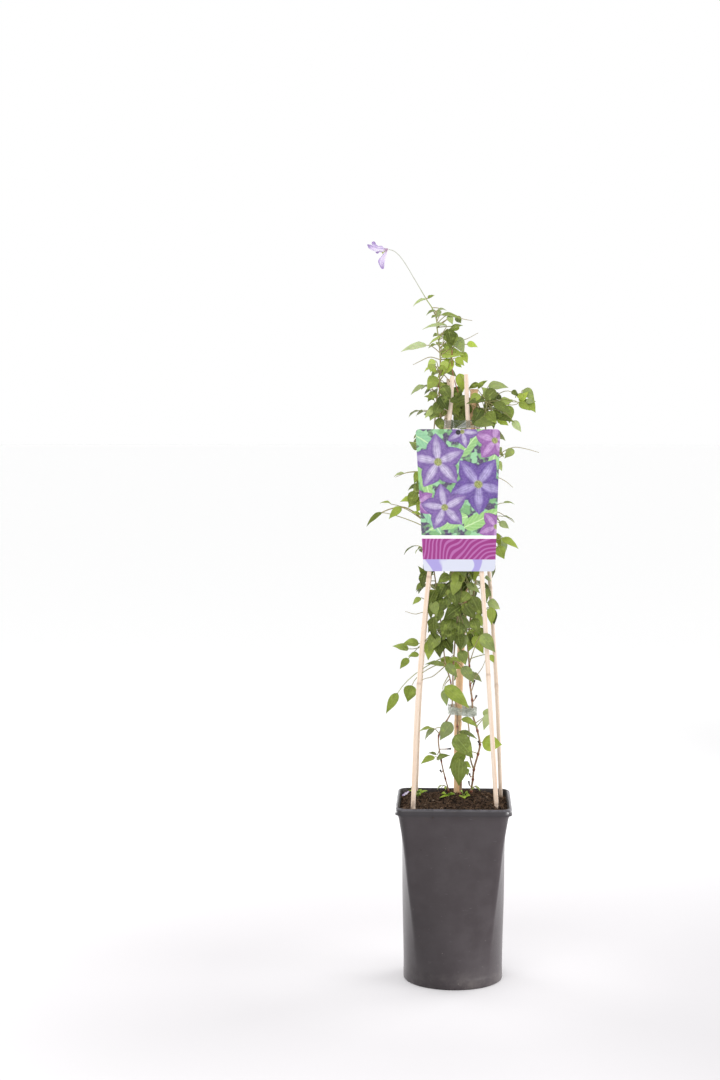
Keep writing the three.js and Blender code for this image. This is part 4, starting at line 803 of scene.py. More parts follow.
GOLDEN = 0.382                      # share of a turn, or of a stretch, from one leaf to the next
BLADE = 0.6                         # thickness allowed for a blade where its stalk meets it
BLADE_THICKNESS = 0.3
ARCH = 0.09                         # how far a blade bows up, as a share of its length
FOLD = 0.1                          # how far its halves rise from the midrib, as a share of its width
IN_LINE = 0.6                       # how nearly a blade must point away from its root for a straight stalk
STALK_BEND = 2.5                    # how far behind the blade's foot any other stalk bends
WANDER = 9                          # degrees by which a leaf's turn and rise may stray
LEAF_WIDTH, INFILL_WIDTH = 0.62, 0.64               # shares of a leaflet's length
FORK_AT = 0.62                      # where a leaf's stalk forks, as a share of its length
SIDE_STALK = 0.35                   # stalk of a side leaflet, as a share of the leaflets' length
STEM_DEPTH = 34                     # how far a stem goes down below its first joint
STEM_STEPS = 6                      # points of a stem's curve from one joint to the next
LEAF_SEED, SEED_PER_STEM, SEED_PER_JOINT = 4711, 1000, 37
INFILL_SEED, LOOKS_SEED = 300, 900
# half the outline of a blade, as (share of length, share of half width)
OUTLINE = [(0, 0.1), (0.05, 0.5), (0.13, 0.8), (0.25, 0.98), (0.4, 0.99), (0.56, 0.82), (0.72, 0.53),
           (0.87, 0.22), (1, 0.0)]
COLUMNS = (-1, -0.55, 0, 0.55, 1)


def numbers(seed):
    """A repeatable stream of numbers from 0 to 1."""
    state = seed * 48271 % 2147483647
    while True:
        state = state * 48271 % 2147483647
        yield state / 2147483647


def grown_leaflet(foot, tip, width, facing, root):
    """A blade's place and directions, with the root, any bend and the end of its stalk."""
    foot, root = Vector(foot), Vector(root)
    way = (Vector(tip) - foot).normalized()
    across = way.cross(facing).normalized()
    up = across.cross(way)
    middle = foot - up * BLADE / 2
    straight = way.dot((middle - root).normalized()) > IN_LINE
    stalk = [root, middle] if straight else [root, middle - way * STALK_BEND, middle]
    return {"foot": foot, "way": way, "across": across, "up": up, "long": (Vector(tip) - foot).length,
            "wide": width, "stalk": stalk}


def placed_leaflet(root, foot, tip, width, lean, tone=None, dust=None):
    """A leaflet from its row, with how light and how greyed it is where the row says so."""
    lean = math.radians(lean)
    leaflet = grown_leaflet(foot, tip, width, Vector((0, -math.sin(lean), math.cos(lean))), root)
    return {**leaflet, "tone": tone, "dust": dust}


def leaf_of_three(joint, turn, rise, reach, length, random):
    """Three leaflets on one forked stalk: one at its end and one to each side."""

    def wander():
        return (next(random) - 0.5) * 2

    heading = math.radians(turn + WANDER * wander())
    lift = math.radians(rise + WANDER * wander())
    flat = Vector((math.cos(heading), math.sin(heading), 0))
    side = Vector((-math.sin(heading), math.cos(heading), 0))
    sky = Vector((0, 0, 1))
    out = flat * math.cos(lift) + sky * math.sin(lift)
    fork, made = joint, []
    for hand in (0, 1, -1):
        long = length * (1.08 if hand == 0 else 0.92) * (1 + 0.12 * wander())
        fall = 0.55 + 0.3 * wander()
        spread = flat * (1 if hand == 0 else 0.35) + side * hand
        way = (spread - sky * fall).normalized()
        aside = (spread + sky * 0.1).normalized() * length * SIDE_STALK
        foot = joint + out * reach if hand == 0 else fork + aside
        lean = math.radians(42 + 22 * wander())
        facing = flat * math.sin(lean) + sky * math.cos(lean)
        made.append(grown_leaflet(foot, foot + way * long, long * LEAF_WIDTH, facing, fork))
        if hand == 0:
            fork = joint + (made[0]["stalk"][1] - joint) * FORK_AT
    return made


def stalk_root(stem, joint, index):
    start = Vector(stem["joints"][joint])
    beyond = Vector(stem["joints"][min(joint + 1, len(stem["joints"]) - 1)])
    return start + (beyond - start) * (index * GOLDEN % 1 * 0.6)


def stalk_stations(leaflet, green):
    """A slender stalk that leaves the stem on a curve and runs into the blade's midrib."""
    root, foot = leaflet["stalk"][0], leaflet["stalk"][-1]
    gap = (foot - root).length
    reach = 0.32 * gap if len(leaflet["stalk"]) == 2 else min(0.32 * gap, 3.2)
    out = (foot - root).normalized()
    bend = [root,
            root + (out + Vector((0, 0, 0.25))).normalized() * 0.33 * gap,
            foot - leaflet["way"] * reach,
            foot + leaflet["way"] * 0.03 * leaflet["long"]]
    stations = []
    for k in range(8):
        t = k / 7
        point = (bend[0] * (1 - t) ** 3 + bend[1] * 3 * t * (1 - t) ** 2 + bend[2] * 3 * t * t * (1 - t)
                 + bend[3] * t ** 3)
        stations.append((point, mix(0.62, 0.4, t), green))
    return stations


# pairs of a height and what is found there: how green a stem is, how much is left of its thickness, how
# light the leaves are, and how greyed they are
GREEN_AT = [(224, 0.0), (330, 0.08), (480, 0.2), (700, 0.35), (760, 0.7), (800, 1), (830, 1.5)]
SLIM_AT = [(240, 0.8), (400, 0.85), (640, 1), (780, 0.85), (830, 0.72)]
# the dips of TONE_AT are painted shade where the thick of the plant lies in shade, and its highs are partly
# painted light
TONE_AT = [(240, 0.3), (320, 0.35), (345, 0.5), (385, 0.42), (410, 0.22), (480, 0.2), (540, 0.45),
           (640, 0.45), (665, 0.12), (705, 0.12), (720, 0.6), (745, 0.75), (762, 0.65), (775, 0.3),
           (800, 0.25)]
DUST_AT = [(695, 1), (715, 0.35), (762, 0.35), (780, 1)]
# a leaflet strays from that lightness by chance, and the shorter it is the lighter
TONE_SPREAD, TONE_PER_MM, USUAL_LENGTH = 0.62, 0.012, 17


def infill_leaf(stem, low, high, reach, length, random):
    """A leaflet of the thick of the plant, on a stalk from the stem between two heights."""
    path = [Vector(p) for p in stem["joints"] if low <= p[2] <= high]
    k = next(random) * (len(path) - 1)
    root = path[int(k)].lerp(path[min(int(k) + 1, len(path) - 1)], k % 1)
    turn = math.radians(-90 + 190 * (next(random) + next(random) - 1))
    flat = Vector((math.cos(turn), math.sin(turn), 0))
    long = length * (0.75 + 0.5 * next(random))
    foot = root + flat * reach * (0.3 + 0.9 * next(random)) + Vector((0, 0, 7 * next(random) - 1))
    way = (flat * (0.5 * next(random)) + Vector((0.7 * (next(random) - 0.5), 0, -0.8))).normalized()
    lean = math.radians(50 + 32 * next(random))
    facing = flat * math.sin(lean) + Vector((0, 0, math.cos(lean)))
    return grown_leaflet(foot, foot + way * long, long * INFILL_WIDTH, facing, root)


def leaf_tone(z, long, pick):
    """How light and yellow a leaflet is, from its height, its chance and its length, partly painted shade
    and light.
    """
    tone = along(TONE_AT, z) + TONE_SPREAD * (pick - 0.5) + TONE_PER_MM * (USUAL_LENGTH - long)
    return min(1, max(-0.2, tone))


def leaf_dust(z, pick):
    """How greyed a leaflet is: the new ones of the crown are the least."""
    return pick * 7.3 % 1 * along(DUST_AT, z)


# The pattern of a blade lies flat, one unit long and one wide, and is stretched and bowed by its tree.
PATTERN_DEPTH = 0.02
rows = len(OUTLINE)
blade_points, blade_faces, blade_u, blade_s, blade_under = [], [], [], [], []
for under in (0, 1):
    for u, half in OUTLINE[:-1]:
        for s in COLUMNS:
            blade_points.append((u, half * s, -under * PATTERN_DEPTH))
            blade_u.append(u)
            blade_s.append(s)
            blade_under.append(under)
    blade_points.append((1, 0, -under * PATTERN_DEPTH))
    blade_u.append(1.0)
    blade_s.append(0.0)
    blade_under.append(under)
wide, face_count = len(COLUMNS), (rows - 1) * len(COLUMNS) + 1
for base, turned in ((0, False), (face_count, True)):
    for r in range(rows - 2):
        for c in range(wide - 1):
            corner = base + r * wide + c
            quad = (corner, corner + wide, corner + wide + 1, corner + 1)
            blade_faces.append(quad if turned else quad[::-1])
    for c in range(wide - 1):
        corner = base + (rows - 2) * wide + c
        fan = (corner, base + face_count - 1, corner + 1)
        blade_faces.append(fan if turned else fan[::-1])
loop = list(range(wide)) + [r * wide + wide - 1 for r in range(1, rows - 1)] + [face_count - 1]
loop += [r * wide for r in range(rows - 2, 0, -1)]
for a, b in zip(loop, loop[1:] + loop[:1]):
    blade_faces.append((a, b, b + face_count, a + face_count))
flat_blade = [(x * 1000, y * 500, z * 1000) for x, y, z in blade_points]
blade = make_piece("leaf_blade_pattern", flat_blade, blade_faces, sharp=50)
set_layer(blade.data, "u", "FLOAT", blade_u)
set_layer(blade.data, "s", "FLOAT", blade_s)
set_layer(blade.data, "half", "FLOAT", [y for _, y, _ in blade_points])
set_layer(blade.data, "under", "FLOAT", blade_under)

w, given, keys = new_tree("Blades on their stalks", (
    ("Feet", "Geometry"), ("Blade", "Object"), ("Thickness", "Float"), ("Skin", "Material")))
pattern = w.out("GeometryNodeObjectInfo", {"Object": given["Blade"]}, pick="Geometry")
shape = w.out("GeometryNodeInstanceOnPoints", {"Points": given["Feet"], "Instance": pattern})
shape = w.out("GeometryNodeRealizeInstances", {"Geometry": shape})
u, half, pick = w.named("u"), w.named("half"), w.named("pick")
long, span, curl = w.named("long"), w.named("span"), w.named("curl")
spread = w.calc("ABSOLUTE", half)
bow = w.times(u, w.calc("SUBTRACT", 1.0, u), 4 * ARCH, long)
fold = w.times(spread, FOLD, span)
ripple = w.calc("SINE", w.calc("MULTIPLY_ADD", u, 11.0, w.times(pick, 40.0)))
ripple = w.calc("ADD", ripple, w.calc("SINE", w.calc("MULTIPLY_ADD", u, 23.0, w.times(half, 3.0))))
wave = w.times(ripple, w.times(spread, spread), w.times(span, 0.045))
droop = w.times(w.calc("POWER", u, 3.0), curl, long)
depth = w.times(w.named("under"), given["Thickness"])
rise = w.calc("SUBTRACT", w.calc("ADD", w.calc("ADD", bow, fold), wave), w.calc("ADD", droop, depth))
sweep = w.times(u, u, w.calc("SUBTRACT", pick, 0.5), w.times(long, 0.16))
aside = w.calc("ADD", w.times(span, 0.5, half), sweep)
spot = w.named("foot", "FLOAT_VECTOR")
for heading, distance in (("way", w.times(long, u)), ("across", aside), ("up", rise)):
    spot = w.vector("ADD", spot, w.vector("SCALE", w.named(heading, "FLOAT_VECTOR"), scale=distance))
shape = w.out("GeometryNodeSetPosition", {"Geometry": shape, "Position": spot})
close_tree(w, shape, given["Skin"])
blade_tree, blade_keys = w.tree, keys


def soft_line(w, value, middle, reach, strength=1.0):
    """Strongest where the value meets the middle, and gone a reach away from it."""
    gap = w.calc("ABSOLUTE", w.calc("SUBTRACT", value, middle))
    return w.remap(gap, 0.0, reach, strength, 0.0)


def leaf_finish(name, dark, mid, light, dusty, pale_under):
    """Leaf skin: veins that arch from foot to tip, mottled greens, and a paler underside."""
    made = Finish(name, {"Specular IOR Level": 0.2, "Subsurface Weight": 0.12,
                         "Subsurface Radius": (0.5, 0.9, 0.12), "Subsurface Scale": 0.001})
    w = made
    u, s, pick, tone, under = (w.named(n) for n in ("u", "s", "pick", "tone", "under"))
    side = w.calc("ABSOLUTE", s)
    rib = w.remap(side, 0.02, 0.1, 1.0, 0.0)
    arch = w.times(soft_line(w, side, 0.44, 0.055), 0.75)
    outer_arch = w.times(soft_line(w, side, 0.78, 0.045, 0.6), 0.7)
    rungs = w.calc("FRACT", w.calc("SUBTRACT", w.times(u, 8.0), w.times(side, 1.5)))
    rungs = soft_line(w, rungs, 0.5, 0.1, 0.4)
    veins = w.calc("MAXIMUM", w.calc("MAXIMUM", rib, arch), w.calc("MAXIMUM", outer_arch, rungs))
    veins = w.times(veins, w.remap(u, 0.55, 1.0, 1.0, 0.35))
    mottle = w.noise(w.place, 420, 4, 0.65)
    patches = w.calc("ADD", w.times(mottle, 0.8), w.times(pick, 0.5))
    green = w.blend(w.remap(patches, 0.4, 0.95), dark, mid)
    light = w.blend(w.remap(w.named("dust"), 0.1, 0.9), light, dusty)
    # the layer tone paints light and shade as well as each leaflet's own colour: below 0 it darkens the
    # blade with painted shade, from 0 to 0.95 it lightens it, partly own colour and partly painted light,
    # and above 1 it pales it with painted light
    green = w.blend(w.remap(tone, 0.0, 0.95, 0.0, 1.0, smooth=False), green, light)
    green = w.blend(w.remap(tone, 1.0, 1.5, smooth=False), green, (0.56, 0.59, 0.42))
    green = w.blend(w.remap(tone, -0.5, 0.0, 0.8, 0.0, smooth=False), green, (0.03, 0.045, 0.004))
    blotch = w.noise(w.place, 140, 2, 0.5)
    dulled = w.blend(1.0, green, (0.55, 0.6, 0.5), "MULTIPLY")
    green = w.blend(w.remap(blotch, 0.5, 0.75, 0.0, 0.45), green, dulled)
    green = w.blend(w.remap(blotch, 0.3, 0.46, 0.35, 0.0), green, (0.4, 0.5, 0.1))
    edge = w.times(w.remap(side, 0.9, 1.0), w.remap(pick, 0.6, 0.9, 0.0, 0.5))
    green = w.blend(edge, green, (0.22, 0.13, 0.04))
    above = w.blend(w.times(veins, 0.24), green, (0.42, 0.5, 0.15))
    below = w.blend(w.times(veins, 0.35), w.blend(0.5, green, pale_under), (0.36, 0.44, 0.24))
    relief = w.calc("ADD", w.times(veins, -0.7), w.times(mottle, 0.5))
    w.fill(w.shader, {
        "Base Color": w.blend(under, above, below),
        "Roughness": w.remap(mottle, 0.3, 0.7, 0.4, 0.58),
        "Normal": w.bump(relief, 0.00035, 0.8)})
    return made.skin


leaf_green = leaf_finish("Clematis leaf", (0.07, 0.092, 0.009), (0.165, 0.21, 0.045), (0.43, 0.53, 0.075),
                         (0.45, 0.52, 0.25), (0.2, 0.24, 0.1))

# A stem's layer "green" runs from a black bud (-1) by a red shoot (-0.5) and brown bark (0) to fresh
# green (1) and the pale flower stalk (1.5).
shoot = Finish("Young clematis stem", {"Roughness": 0.55, "Specular IOR Level": 0.4})
w = shoot
ridged = grain(w, 40.0, 2.6, 4, 0.6)
freshness = w.named("green")
bark = w.blend(w.remap(ridged, 0.35, 0.68), (0.2, 0.1, 0.06), (0.52, 0.35, 0.22))
bark = w.blend(w.remap(freshness, -0.5, 0.0, 1.0, 0.0), bark, (0.33, 0.11, 0.06))
bark = w.blend(w.remap(freshness, -1.0, -0.5, 1.0, 0.0), bark, (0.035, 0.014, 0.012))
fresh = w.blend(w.remap(ridged, 0.35, 0.68), (0.26, 0.3, 0.09), (0.4, 0.46, 0.17))
fresh = w.blend(w.remap(freshness, 1.0, 1.5), fresh, (0.48, 0.49, 0.42))
stem_colour = w.blend(w.remap(freshness, 0.0, 1.0, smooth=False), bark, fresh)
w.fill(w.shader, {"Base Color": stem_colour, "Normal": w.bump(ridged, 0.0003, 0.8)})


def set_blades(name, leaflets, random, skin):
    """The leaflets as one mesh, made by the blade tree from a point and its layers for each."""
    mesh = bpy.data.meshes.new(name)
    mesh.from_pydata([leaf["foot"] * MM for leaf in leaflets], [], [])
    picks = [next(random) for _ in leaflets]
    curls = [0.12 * next(random) for _ in leaflets]
    tones = [leaf_tone(leaf["foot"].z, leaf["long"], pick) if leaf.get("tone") is None else leaf["tone"]
             for leaf, pick in zip(leaflets, picks)]
    dusts = [leaf_dust(leaf["foot"].z, pick) if leaf.get("dust") is None else leaf["dust"]
             for leaf, pick in zip(leaflets, picks)]
    set_layer(mesh, "foot", "FLOAT_VECTOR", [leaf["foot"] * MM for leaf in leaflets])
    for heading in ("way", "across", "up"):
        set_layer(mesh, heading, "FLOAT_VECTOR", [leaf[heading] for leaf in leaflets])
    set_layer(mesh, "long", "FLOAT", [leaf["long"] * MM for leaf in leaflets])
    set_layer(mesh, "span", "FLOAT", [leaf["wide"] * MM for leaf in leaflets])
    for layer, values in (("pick", picks), ("curl", curls), ("tone", tones), ("dust", dusts)):
        set_layer(mesh, layer, "FLOAT", values)
    made = bpy.data.objects.new(name, mesh)
    bpy.context.scene.collection.objects.link(made)
    return run_tree(made, blade_tree, blade_keys, Blade=blade, Thickness=BLADE_THICKNESS * MM, Skin=skin)


# Small leaflets close up the thick of the plant. A row is the least and greatest height of the joints
# that they spring from, how many there are, how far out they stand and how long they are.
INFILL = {
    "left_stem": [(403, 504, 14, 14, 20)],
    "right_stem": [(400, 510, 15, 14, 20), (640, 700, 5, 11, 18)],
    "front_stem": [(404, 514, 13, 11, 20)],
    "tall_stem": [(410, 510, 11, 13, 20), (598, 672, 4, 12, 16)],
}

# Larger ones hang where the plant is thickest. A row is a joint, or the point that the stalk comes from,
# and goes on as a leaflet row of STEMS does.
THICK_OF_PLANT = {
    "left_stem": [
        (8, (-29, -9, 410), (-29, -10, 385), 13, 66, 0.55), (7, (-16, 1, 385), (10, -2, 375), 14, 77, 0.55),
        (13, (-46, -9, 585), (-54, -10, 566), 13, 62, 0.15)],
    "right_stem": [
        (18, (19, -4, 671), (45, -6, 660), 18, 75, 0.53), (18, (9, 6, 680), (0, 4, 657), 16, 74, 0.04),
        (19, (17, -5, 693), (-7, 2, 682), 14, 63, -0.06), (10, (26, -5, 422), (16, -7, 396), 18, 72, 0.59),
        (19, (47, 8, 695), (32, 8, 680), 13, 70), (11, (26, 6, 440), (33, 5, 423), 9, 55, 0.87),
        (14, (56, 10, 530), (56, 8, 505), 12, 62, 1.09), (19, (62, 8, 685), (62, 7, 664), 13, 82, 0.53),
        (19, (27, -2, 710), (14, -3, 705), 7, 69, 0.09), (11, (43, -11, 449), (43, -13, 428), 11, 75, 0.56),
        (3, (13, -8, 276), (-7, -9, 256), 14, 79, 0.32), (18, (-2, 12, 700), (8, 13, 676), 15, 72),
        ((76, 8, 690), (79, 9, 703), (93, 7, 692), 13, 60, 0.3),
        ((76, 8, 690), (82, 6, 692), (94, 3, 677), 13, 70, 0.4),
        ((70, 8, 694), (72, 7, 698), (84, 4, 688), 9, 50, 0.6),
        (18, (4, 14, 722), (10, 16, 700), 13, 66), (18, (16, 14, 690), (28, 16, 668), 15, 70)],
    "front_stem": [
        (8, (-4, -4, 436), (23, -6, 425), 18, 76), (8, (-5, -15, 463), (-13, -15, 444), 11, 63, 0.18)],
    "tall_stem": [
        (14, (-9, -12, 773), (-5, -14, 753), 14, 72, 0), (14, (-14, -8, 766), (-3, -13, 757), 9, 66, 0),
        (13, (-18, 2, 745), (10, 0, 745), 17, 58, 0.74), (11, (-10, 6, 678), (-30, 3, 670), 10, 70),
        (17, (-19, 8, 796), (-23, 7, 786), 7, 69, 0.8), (13, (-3, 2, 738), (-23, 0, 718), 14, 81, 1, 0),
        (12, (-27, 1, 709), (-10, -2, 709), 9, 61), (13, (0, 11, 735), (7, 10, 729), 6, 75),
        (15, (4, 5, 776), (-10, 2, 771), 7, 78), (12, (-14, 10, 712), (-8, 13, 694), 11, 68)],
}

# Dead stubs of leaf stalks, each with a dark bud at its end.
STUBS = {
    "left_stem": [[(-17.5, 3, 277), (-10, 1, 277.5), (-3.5, -2, 278.5)],
                  [(-13, 9, 250), (-14.5, 8, 248), (-16, 7, 251)]],
    "right_stem": [[(19.5, -1, 344), (22, -1, 352), (24.2, -1, 361)],
                   [(21.5, -1, 334), (24.5, -2, 338), (26.8, -2, 343)],
                   [(30, 2, 277), (31.2, 0, 281), (29, -1, 288)],
                   [(23.5, 5, 246), (20.5, 3, 243.5), (18.8, 2, 248)],
                   [(22.5, 9, 232), (19.5, 7, 232), (18, 6, 238)]],
}

WOODY_BELOW, DARK_BELOW = 340, 420  # heights below which a joint is stout, and below which it is dark
# Radii from start to end; a branch's are shares of its stem's thin end.
BRANCH, STUB, TENDRIL, RED_SHOOT = (1.25, 0.85), (0.5, 1.3), (0.6, 0.28), 0.62
# New shoots, still red.
RED_SHOOTS = {
    "tall_stem": [[(3, -3, 700), (0.4, -2, 708), (-3.1, 0, 721), (-4.4, -2, 735), (-4.4, -4, 749)]],
    "left_stem": [[(-15, -6, 690), (-17.1, -5, 699), (-20.6, -4, 709), (-23, -6, 717)]],
}


def with_shares(path):
    """The points of a path, each with the share of the path that lies behind it."""
    return [(i / (len(path) - 1), point) for i, point in enumerate(path)]


for order, (node, stem) in enumerate(STEMS.items()):
    leaves = [placed_leaflet(stalk_root(stem, joint, i), *row)
              for i, (joint, *row) in enumerate(stem["leaflets"])]
    for i, (joint, turn, *row) in enumerate(stem["leaves"]):
        random = numbers(LEAF_SEED + SEED_PER_STEM * order + SEED_PER_JOINT * joint + turn)
        leaves += leaf_of_three(stalk_root(stem, joint, i), turn, *row, random)
    random = numbers(INFILL_SEED + order)
    for low, high, count, reach, length in INFILL[node]:
        leaves += [infill_leaf(stem, low, high, reach, length, random) for _ in range(count)]
    for joint, *row in THICK_OF_PLANT[node]:
        root = stem["joints"][joint] if isinstance(joint, int) else joint
        leaves.append(placed_leaflet(root, *row))

    # the stem itself, swollen at its joints, which are dark low down
    thick, thin = stem["radius"]
    buried = Vector(stem["joints"][0]) - Vector((0, 0, STEM_DEPTH))
    bars = [[]]
    for i, (t, point) in enumerate(with_shares(smooth([buried, *stem["joints"]], STEM_STEPS))):
        knot = i % STEM_STEPS == 0
        swell = 1 if not knot else 1.5 if point.z < WOODY_BELOW else 1.2
        green = -0.9 if knot and point.z < DARK_BELOW else along(GREEN_AT, point.z)
        bars[0].append((point, mix(thick, thin, t) * along(SLIM_AT, point.z) * swell, green))
    # and then its branches, red shoots, dead stubs, tendrils and leaf stalks
    for branch in stem["branches"]:
        bars.append([(point, thin * mix(*BRANCH, t), min(1, along(GREEN_AT, point.z) + 0.2))
                     for t, point in with_shares(smooth(branch, 5))])
    for red_shoot in RED_SHOOTS.get(node, ()):
        bars.append([(point, RED_SHOOT, -0.5) for point in smooth(red_shoot, 5)])
    for stub in STUBS.get(node, ()):
        bars.append([(point, mix(*STUB, t ** 3), 0.1 if t < 0.65 else -1)
                     for t, point in with_shares(smooth(stub, 5))])
    for joint, tendril in stem["tendrils"]:
        bars.append([(point, mix(*TENDRIL, t), 0.45)
                     for t, point in with_shares(smooth([stem["joints"][joint], *tendril], 6))])
    random = numbers(LOOKS_SEED + order)
    bars += [stalk_stations(leaf, 0.35 + 0.5 * next(random)) for leaf in leaves]
    shoots = grow(node + "_shoots", bars, 8, shoot.skin)
    blades = set_blades(node + "_leaves", leaves, random, leaf_green)
    stand_for(shoots, "leaf", node)
    stand_for(blades, "leaf", node)

# ======== Tape loops ========
# Clear garden tape, gone cloudy, is wound a few times round the stake and stems above the
# compost, and a narrower loop of it holds the tops of the canes together.
TAPE = 0.7
LOWER_LOOP = {"middle": (10, 3), "half": (16.6, 15.2), "low": 319.5, "high": 329, "slope": -0.08}
UPPER_LOOP = {"posts": [(-7.4, -14.8), (14.6, -14.8), (26.5, 14), (-11.4, 13.4)], "round": 4.2, "low": 659,
              "high": 668}
LOOP_SIDES = 96
CORNER_POINTS = 10
# round the section of a band, shares of the tape's thickness and of its width, with a dent between laps
TAPE_LAPS = ((0.1, 0), (0, 0.04), (0, 0.96), (0.1, 1), (0.8, 1), (1, 0.95), (0.86, 0.8), (0.98, 0.66),
             (1, 0.5), (0.84, 0.36), (1, 0.2), (0.96, 0.06), (0.7, 0))


def tape_film(name, cloudy, milky, thin, thick):
    made = Finish(name, {"Roughness": 0.34, "IOR": 1.46, "Transmission Weight": 0.3, "Coat Weight": 0.2})
    w = made
    film = w.noise(w.stretched(w.place, (1, 1, 1.8)), 150, 4, 0.6)
    w.fill(w.shader, {
        "Base Color": w.blend(w.remap(film, 0.38, 0.66), cloudy, milky),
        "Alpha": w.remap(film, 0.3, 0.7, thin, thick),
        "Normal": w.bump(film, 0.0012, 0.8)})
    return made.skin


milky_tape = tape_film("Cloudy garden tape", (0.3, 0.34, 0.27), (0.56, 0.6, 0.52), 0.5, 0.9)
clear_tape = tape_film("Clear garden tape", (0.05, 0.065, 0.04), (0.19, 0.22, 0.16), 0.25, 0.5)


def wound_band(name, outline, outward, low, high, skin, slope=0, middle=0):
    """A closed band of wound tape: its edges wander and its outer face shows the laps."""
    rings = []
    count = len(outline)
    for i, (x, y) in enumerate(outline):
        turn = 2 * math.pi * i / count
        ox, oy = outward[i]
        lift = slope * (x - middle)
        bottom = low + lift + 0.45 * math.sin(3 * turn + 0.8) + 0.2 * math.sin(11 * turn)
        top = high + lift + 0.4 * math.sin(2 * turn + 2.2) + 0.25 * math.sin(9 * turn + 1)
        ring = []
        for share, rise in TAPE_LAPS:
            out = TAPE * share * (1 - 0.12 * math.sin(7 * turn + 5 * rise))
            ring.append((x + ox * out, y + oy * out, mix(bottom, top, rise)))
        rings.append(ring)
    points = [p for ring in rings for p in ring]
    size = len(rings[0])
    faces = []
    for r in range(count):
        for i in range(size):
            j, s = (i + 1) % size, (r + 1) % count
            faces.append((r * size + i, r * size + j, s * size + j, s * size + i))
    return make_piece(name, points, faces, skin, sharp=60)


lower_out = circle(LOOP_SIDES)
(middle_x, middle_y), (half_x, half_y) = LOWER_LOOP["middle"], LOWER_LOOP["half"]
oval = [(middle_x + half_x * x, middle_y + half_y * y) for x, y in lower_out]
lower = wound_band("lower_garden_tape", oval, lower_out, LOWER_LOOP["low"], LOWER_LOOP["high"], milky_tape,
                   LOWER_LOOP["slope"], middle_x)
stand_for(lower, "tape", "lower_tape")

strap, strap_out = [], []
for i, (x, y) in enumerate(UPPER_LOOP["posts"]):
    for k in range(CORNER_POINTS):
        turn = math.pi * (1.25 + 0.5 * i) - math.pi / 4 + math.pi / 2 * k / (CORNER_POINTS - 1)
        strap.append((x + UPPER_LOOP["round"] * math.cos(turn), y + UPPER_LOOP["round"] * math.sin(turn)))
        strap_out.append((math.cos(turn), math.sin(turn)))
upper = wound_band("upper_garden_tape", strap, strap_out, UPPER_LOOP["low"], UPPER_LOOP["high"], clear_tape)
stand_for(upper, "tape", "upper_tape")

# ======== Label and its peg ========
# A coated card, wider at its top, shows bell flowers over leaves with a printed band below, and
# hangs on the two front canes by a black plastic peg pushed through a hole at its top edge.
LABEL = {"top": 657.5, "bottom": 493, "top_half": 49.2, "bottom_half": 41.6, "middle": (2.9, 5.3),
         "top_depth": -18.6, "bottom_depth": -32.2, "corner": 5, "thick": 0.6}
PEG_PLACE = (3.2, 3.6)              # across, and below the card's top edge
PEG_HOLE = 1.5
label_tilt = math.atan2(LABEL["top_depth"] - LABEL["bottom_depth"], LABEL["top"] - LABEL["bottom"])
label_tall = math.hypot(LABEL["top"] - LABEL["bottom"], LABEL["top_depth"] - LABEL["bottom_depth"])
PRINT_WIDE, PRINT_TALL = 100, 200   # millimetres of card that one unit of its print map covers
# above the card's bottom edge: the pale strip's top, and where the band ends and the picture begins
STRIP_TOP, BAND_TOP, PICTURE_FOOT = 13.8, 38.0, 41.7
RIPPLE_MIDDLE = (64, -6, 0)         # the point off its lower corner that the band's lines run round


def on_label(x, up, out):
    """A point at a height up the leaning card and a distance in front of its back."""
    return (x, LABEL["bottom_depth"] + up * math.sin(label_tilt) - out * math.cos(label_tilt),
            LABEL["bottom"] + up * math.cos(label_tilt) + out * math.sin(label_tilt))


def bend(start, control, end):
    """A rounded corner of the card, as points from one edge to the next."""
    return [tuple(a * (1 - t) ** 2 + 2 * b * t * (1 - t) + c * t * t
                  for a, b, c in zip(start, control, end)) for t in (k / 7 for k in range(8))]


c, (top_mid, low_mid) = LABEL["corner"], LABEL["middle"]
left, right = low_mid - LABEL["bottom_half"], low_mid + LABEL["bottom_half"]
far_left, far_right = top_mid - LABEL["top_half"], top_mid + LABEL["top_half"]
card = bend((right - c, 0), (right, 0), (right + 0.2, c))
card += bend((far_right - 0.2, label_tall - c), (far_right, label_tall), (far_right - c, label_tall))
card += bend((far_left + c, label_tall), (far_left, label_tall), (far_left + 0.2, label_tall - c))
card += bend((left - 0.2, c), (left, 0), (left + c, 0))
peg_up = label_tall - PEG_PLACE[1]
hole = circle(24, PEG_HOLE, PEG_PLACE[0], peg_up)
flat = bmesh.new()
for outline in (card, hole):
    corners = [flat.verts.new((x, up, 0)) for x, up in outline]
    for a, b in zip(corners, corners[1:] + corners[:1]):
        flat.edges.new((a, b))
bmesh.ops.triangle_fill(flat, edges=flat.edges[:], use_beauty=True)
# it is cut into a grid both ways, so that it can bow
for axis, places in (((1, 0, 0), range(-42, 54, 8)), ((0, 1, 0), range(9, 163, 11))):
    for place in places:
        everything = flat.verts[:] + flat.edges[:] + flat.faces[:]
        bmesh.ops.bisect_plane(flat, geom=everything, plane_co=Vector(axis) * place, plane_no=axis)
flat.verts.index_update()


def card_bow(x, up):
    """How far the card stands off its flat: a slow bow across, and lower corners that lift a little."""
    across = (x - mix(low_mid, top_mid, up / label_tall)) / 46
    return -0.5 * across ** 2 + 0.7 * (1 - up / label_tall) ** 3 * across ** 2


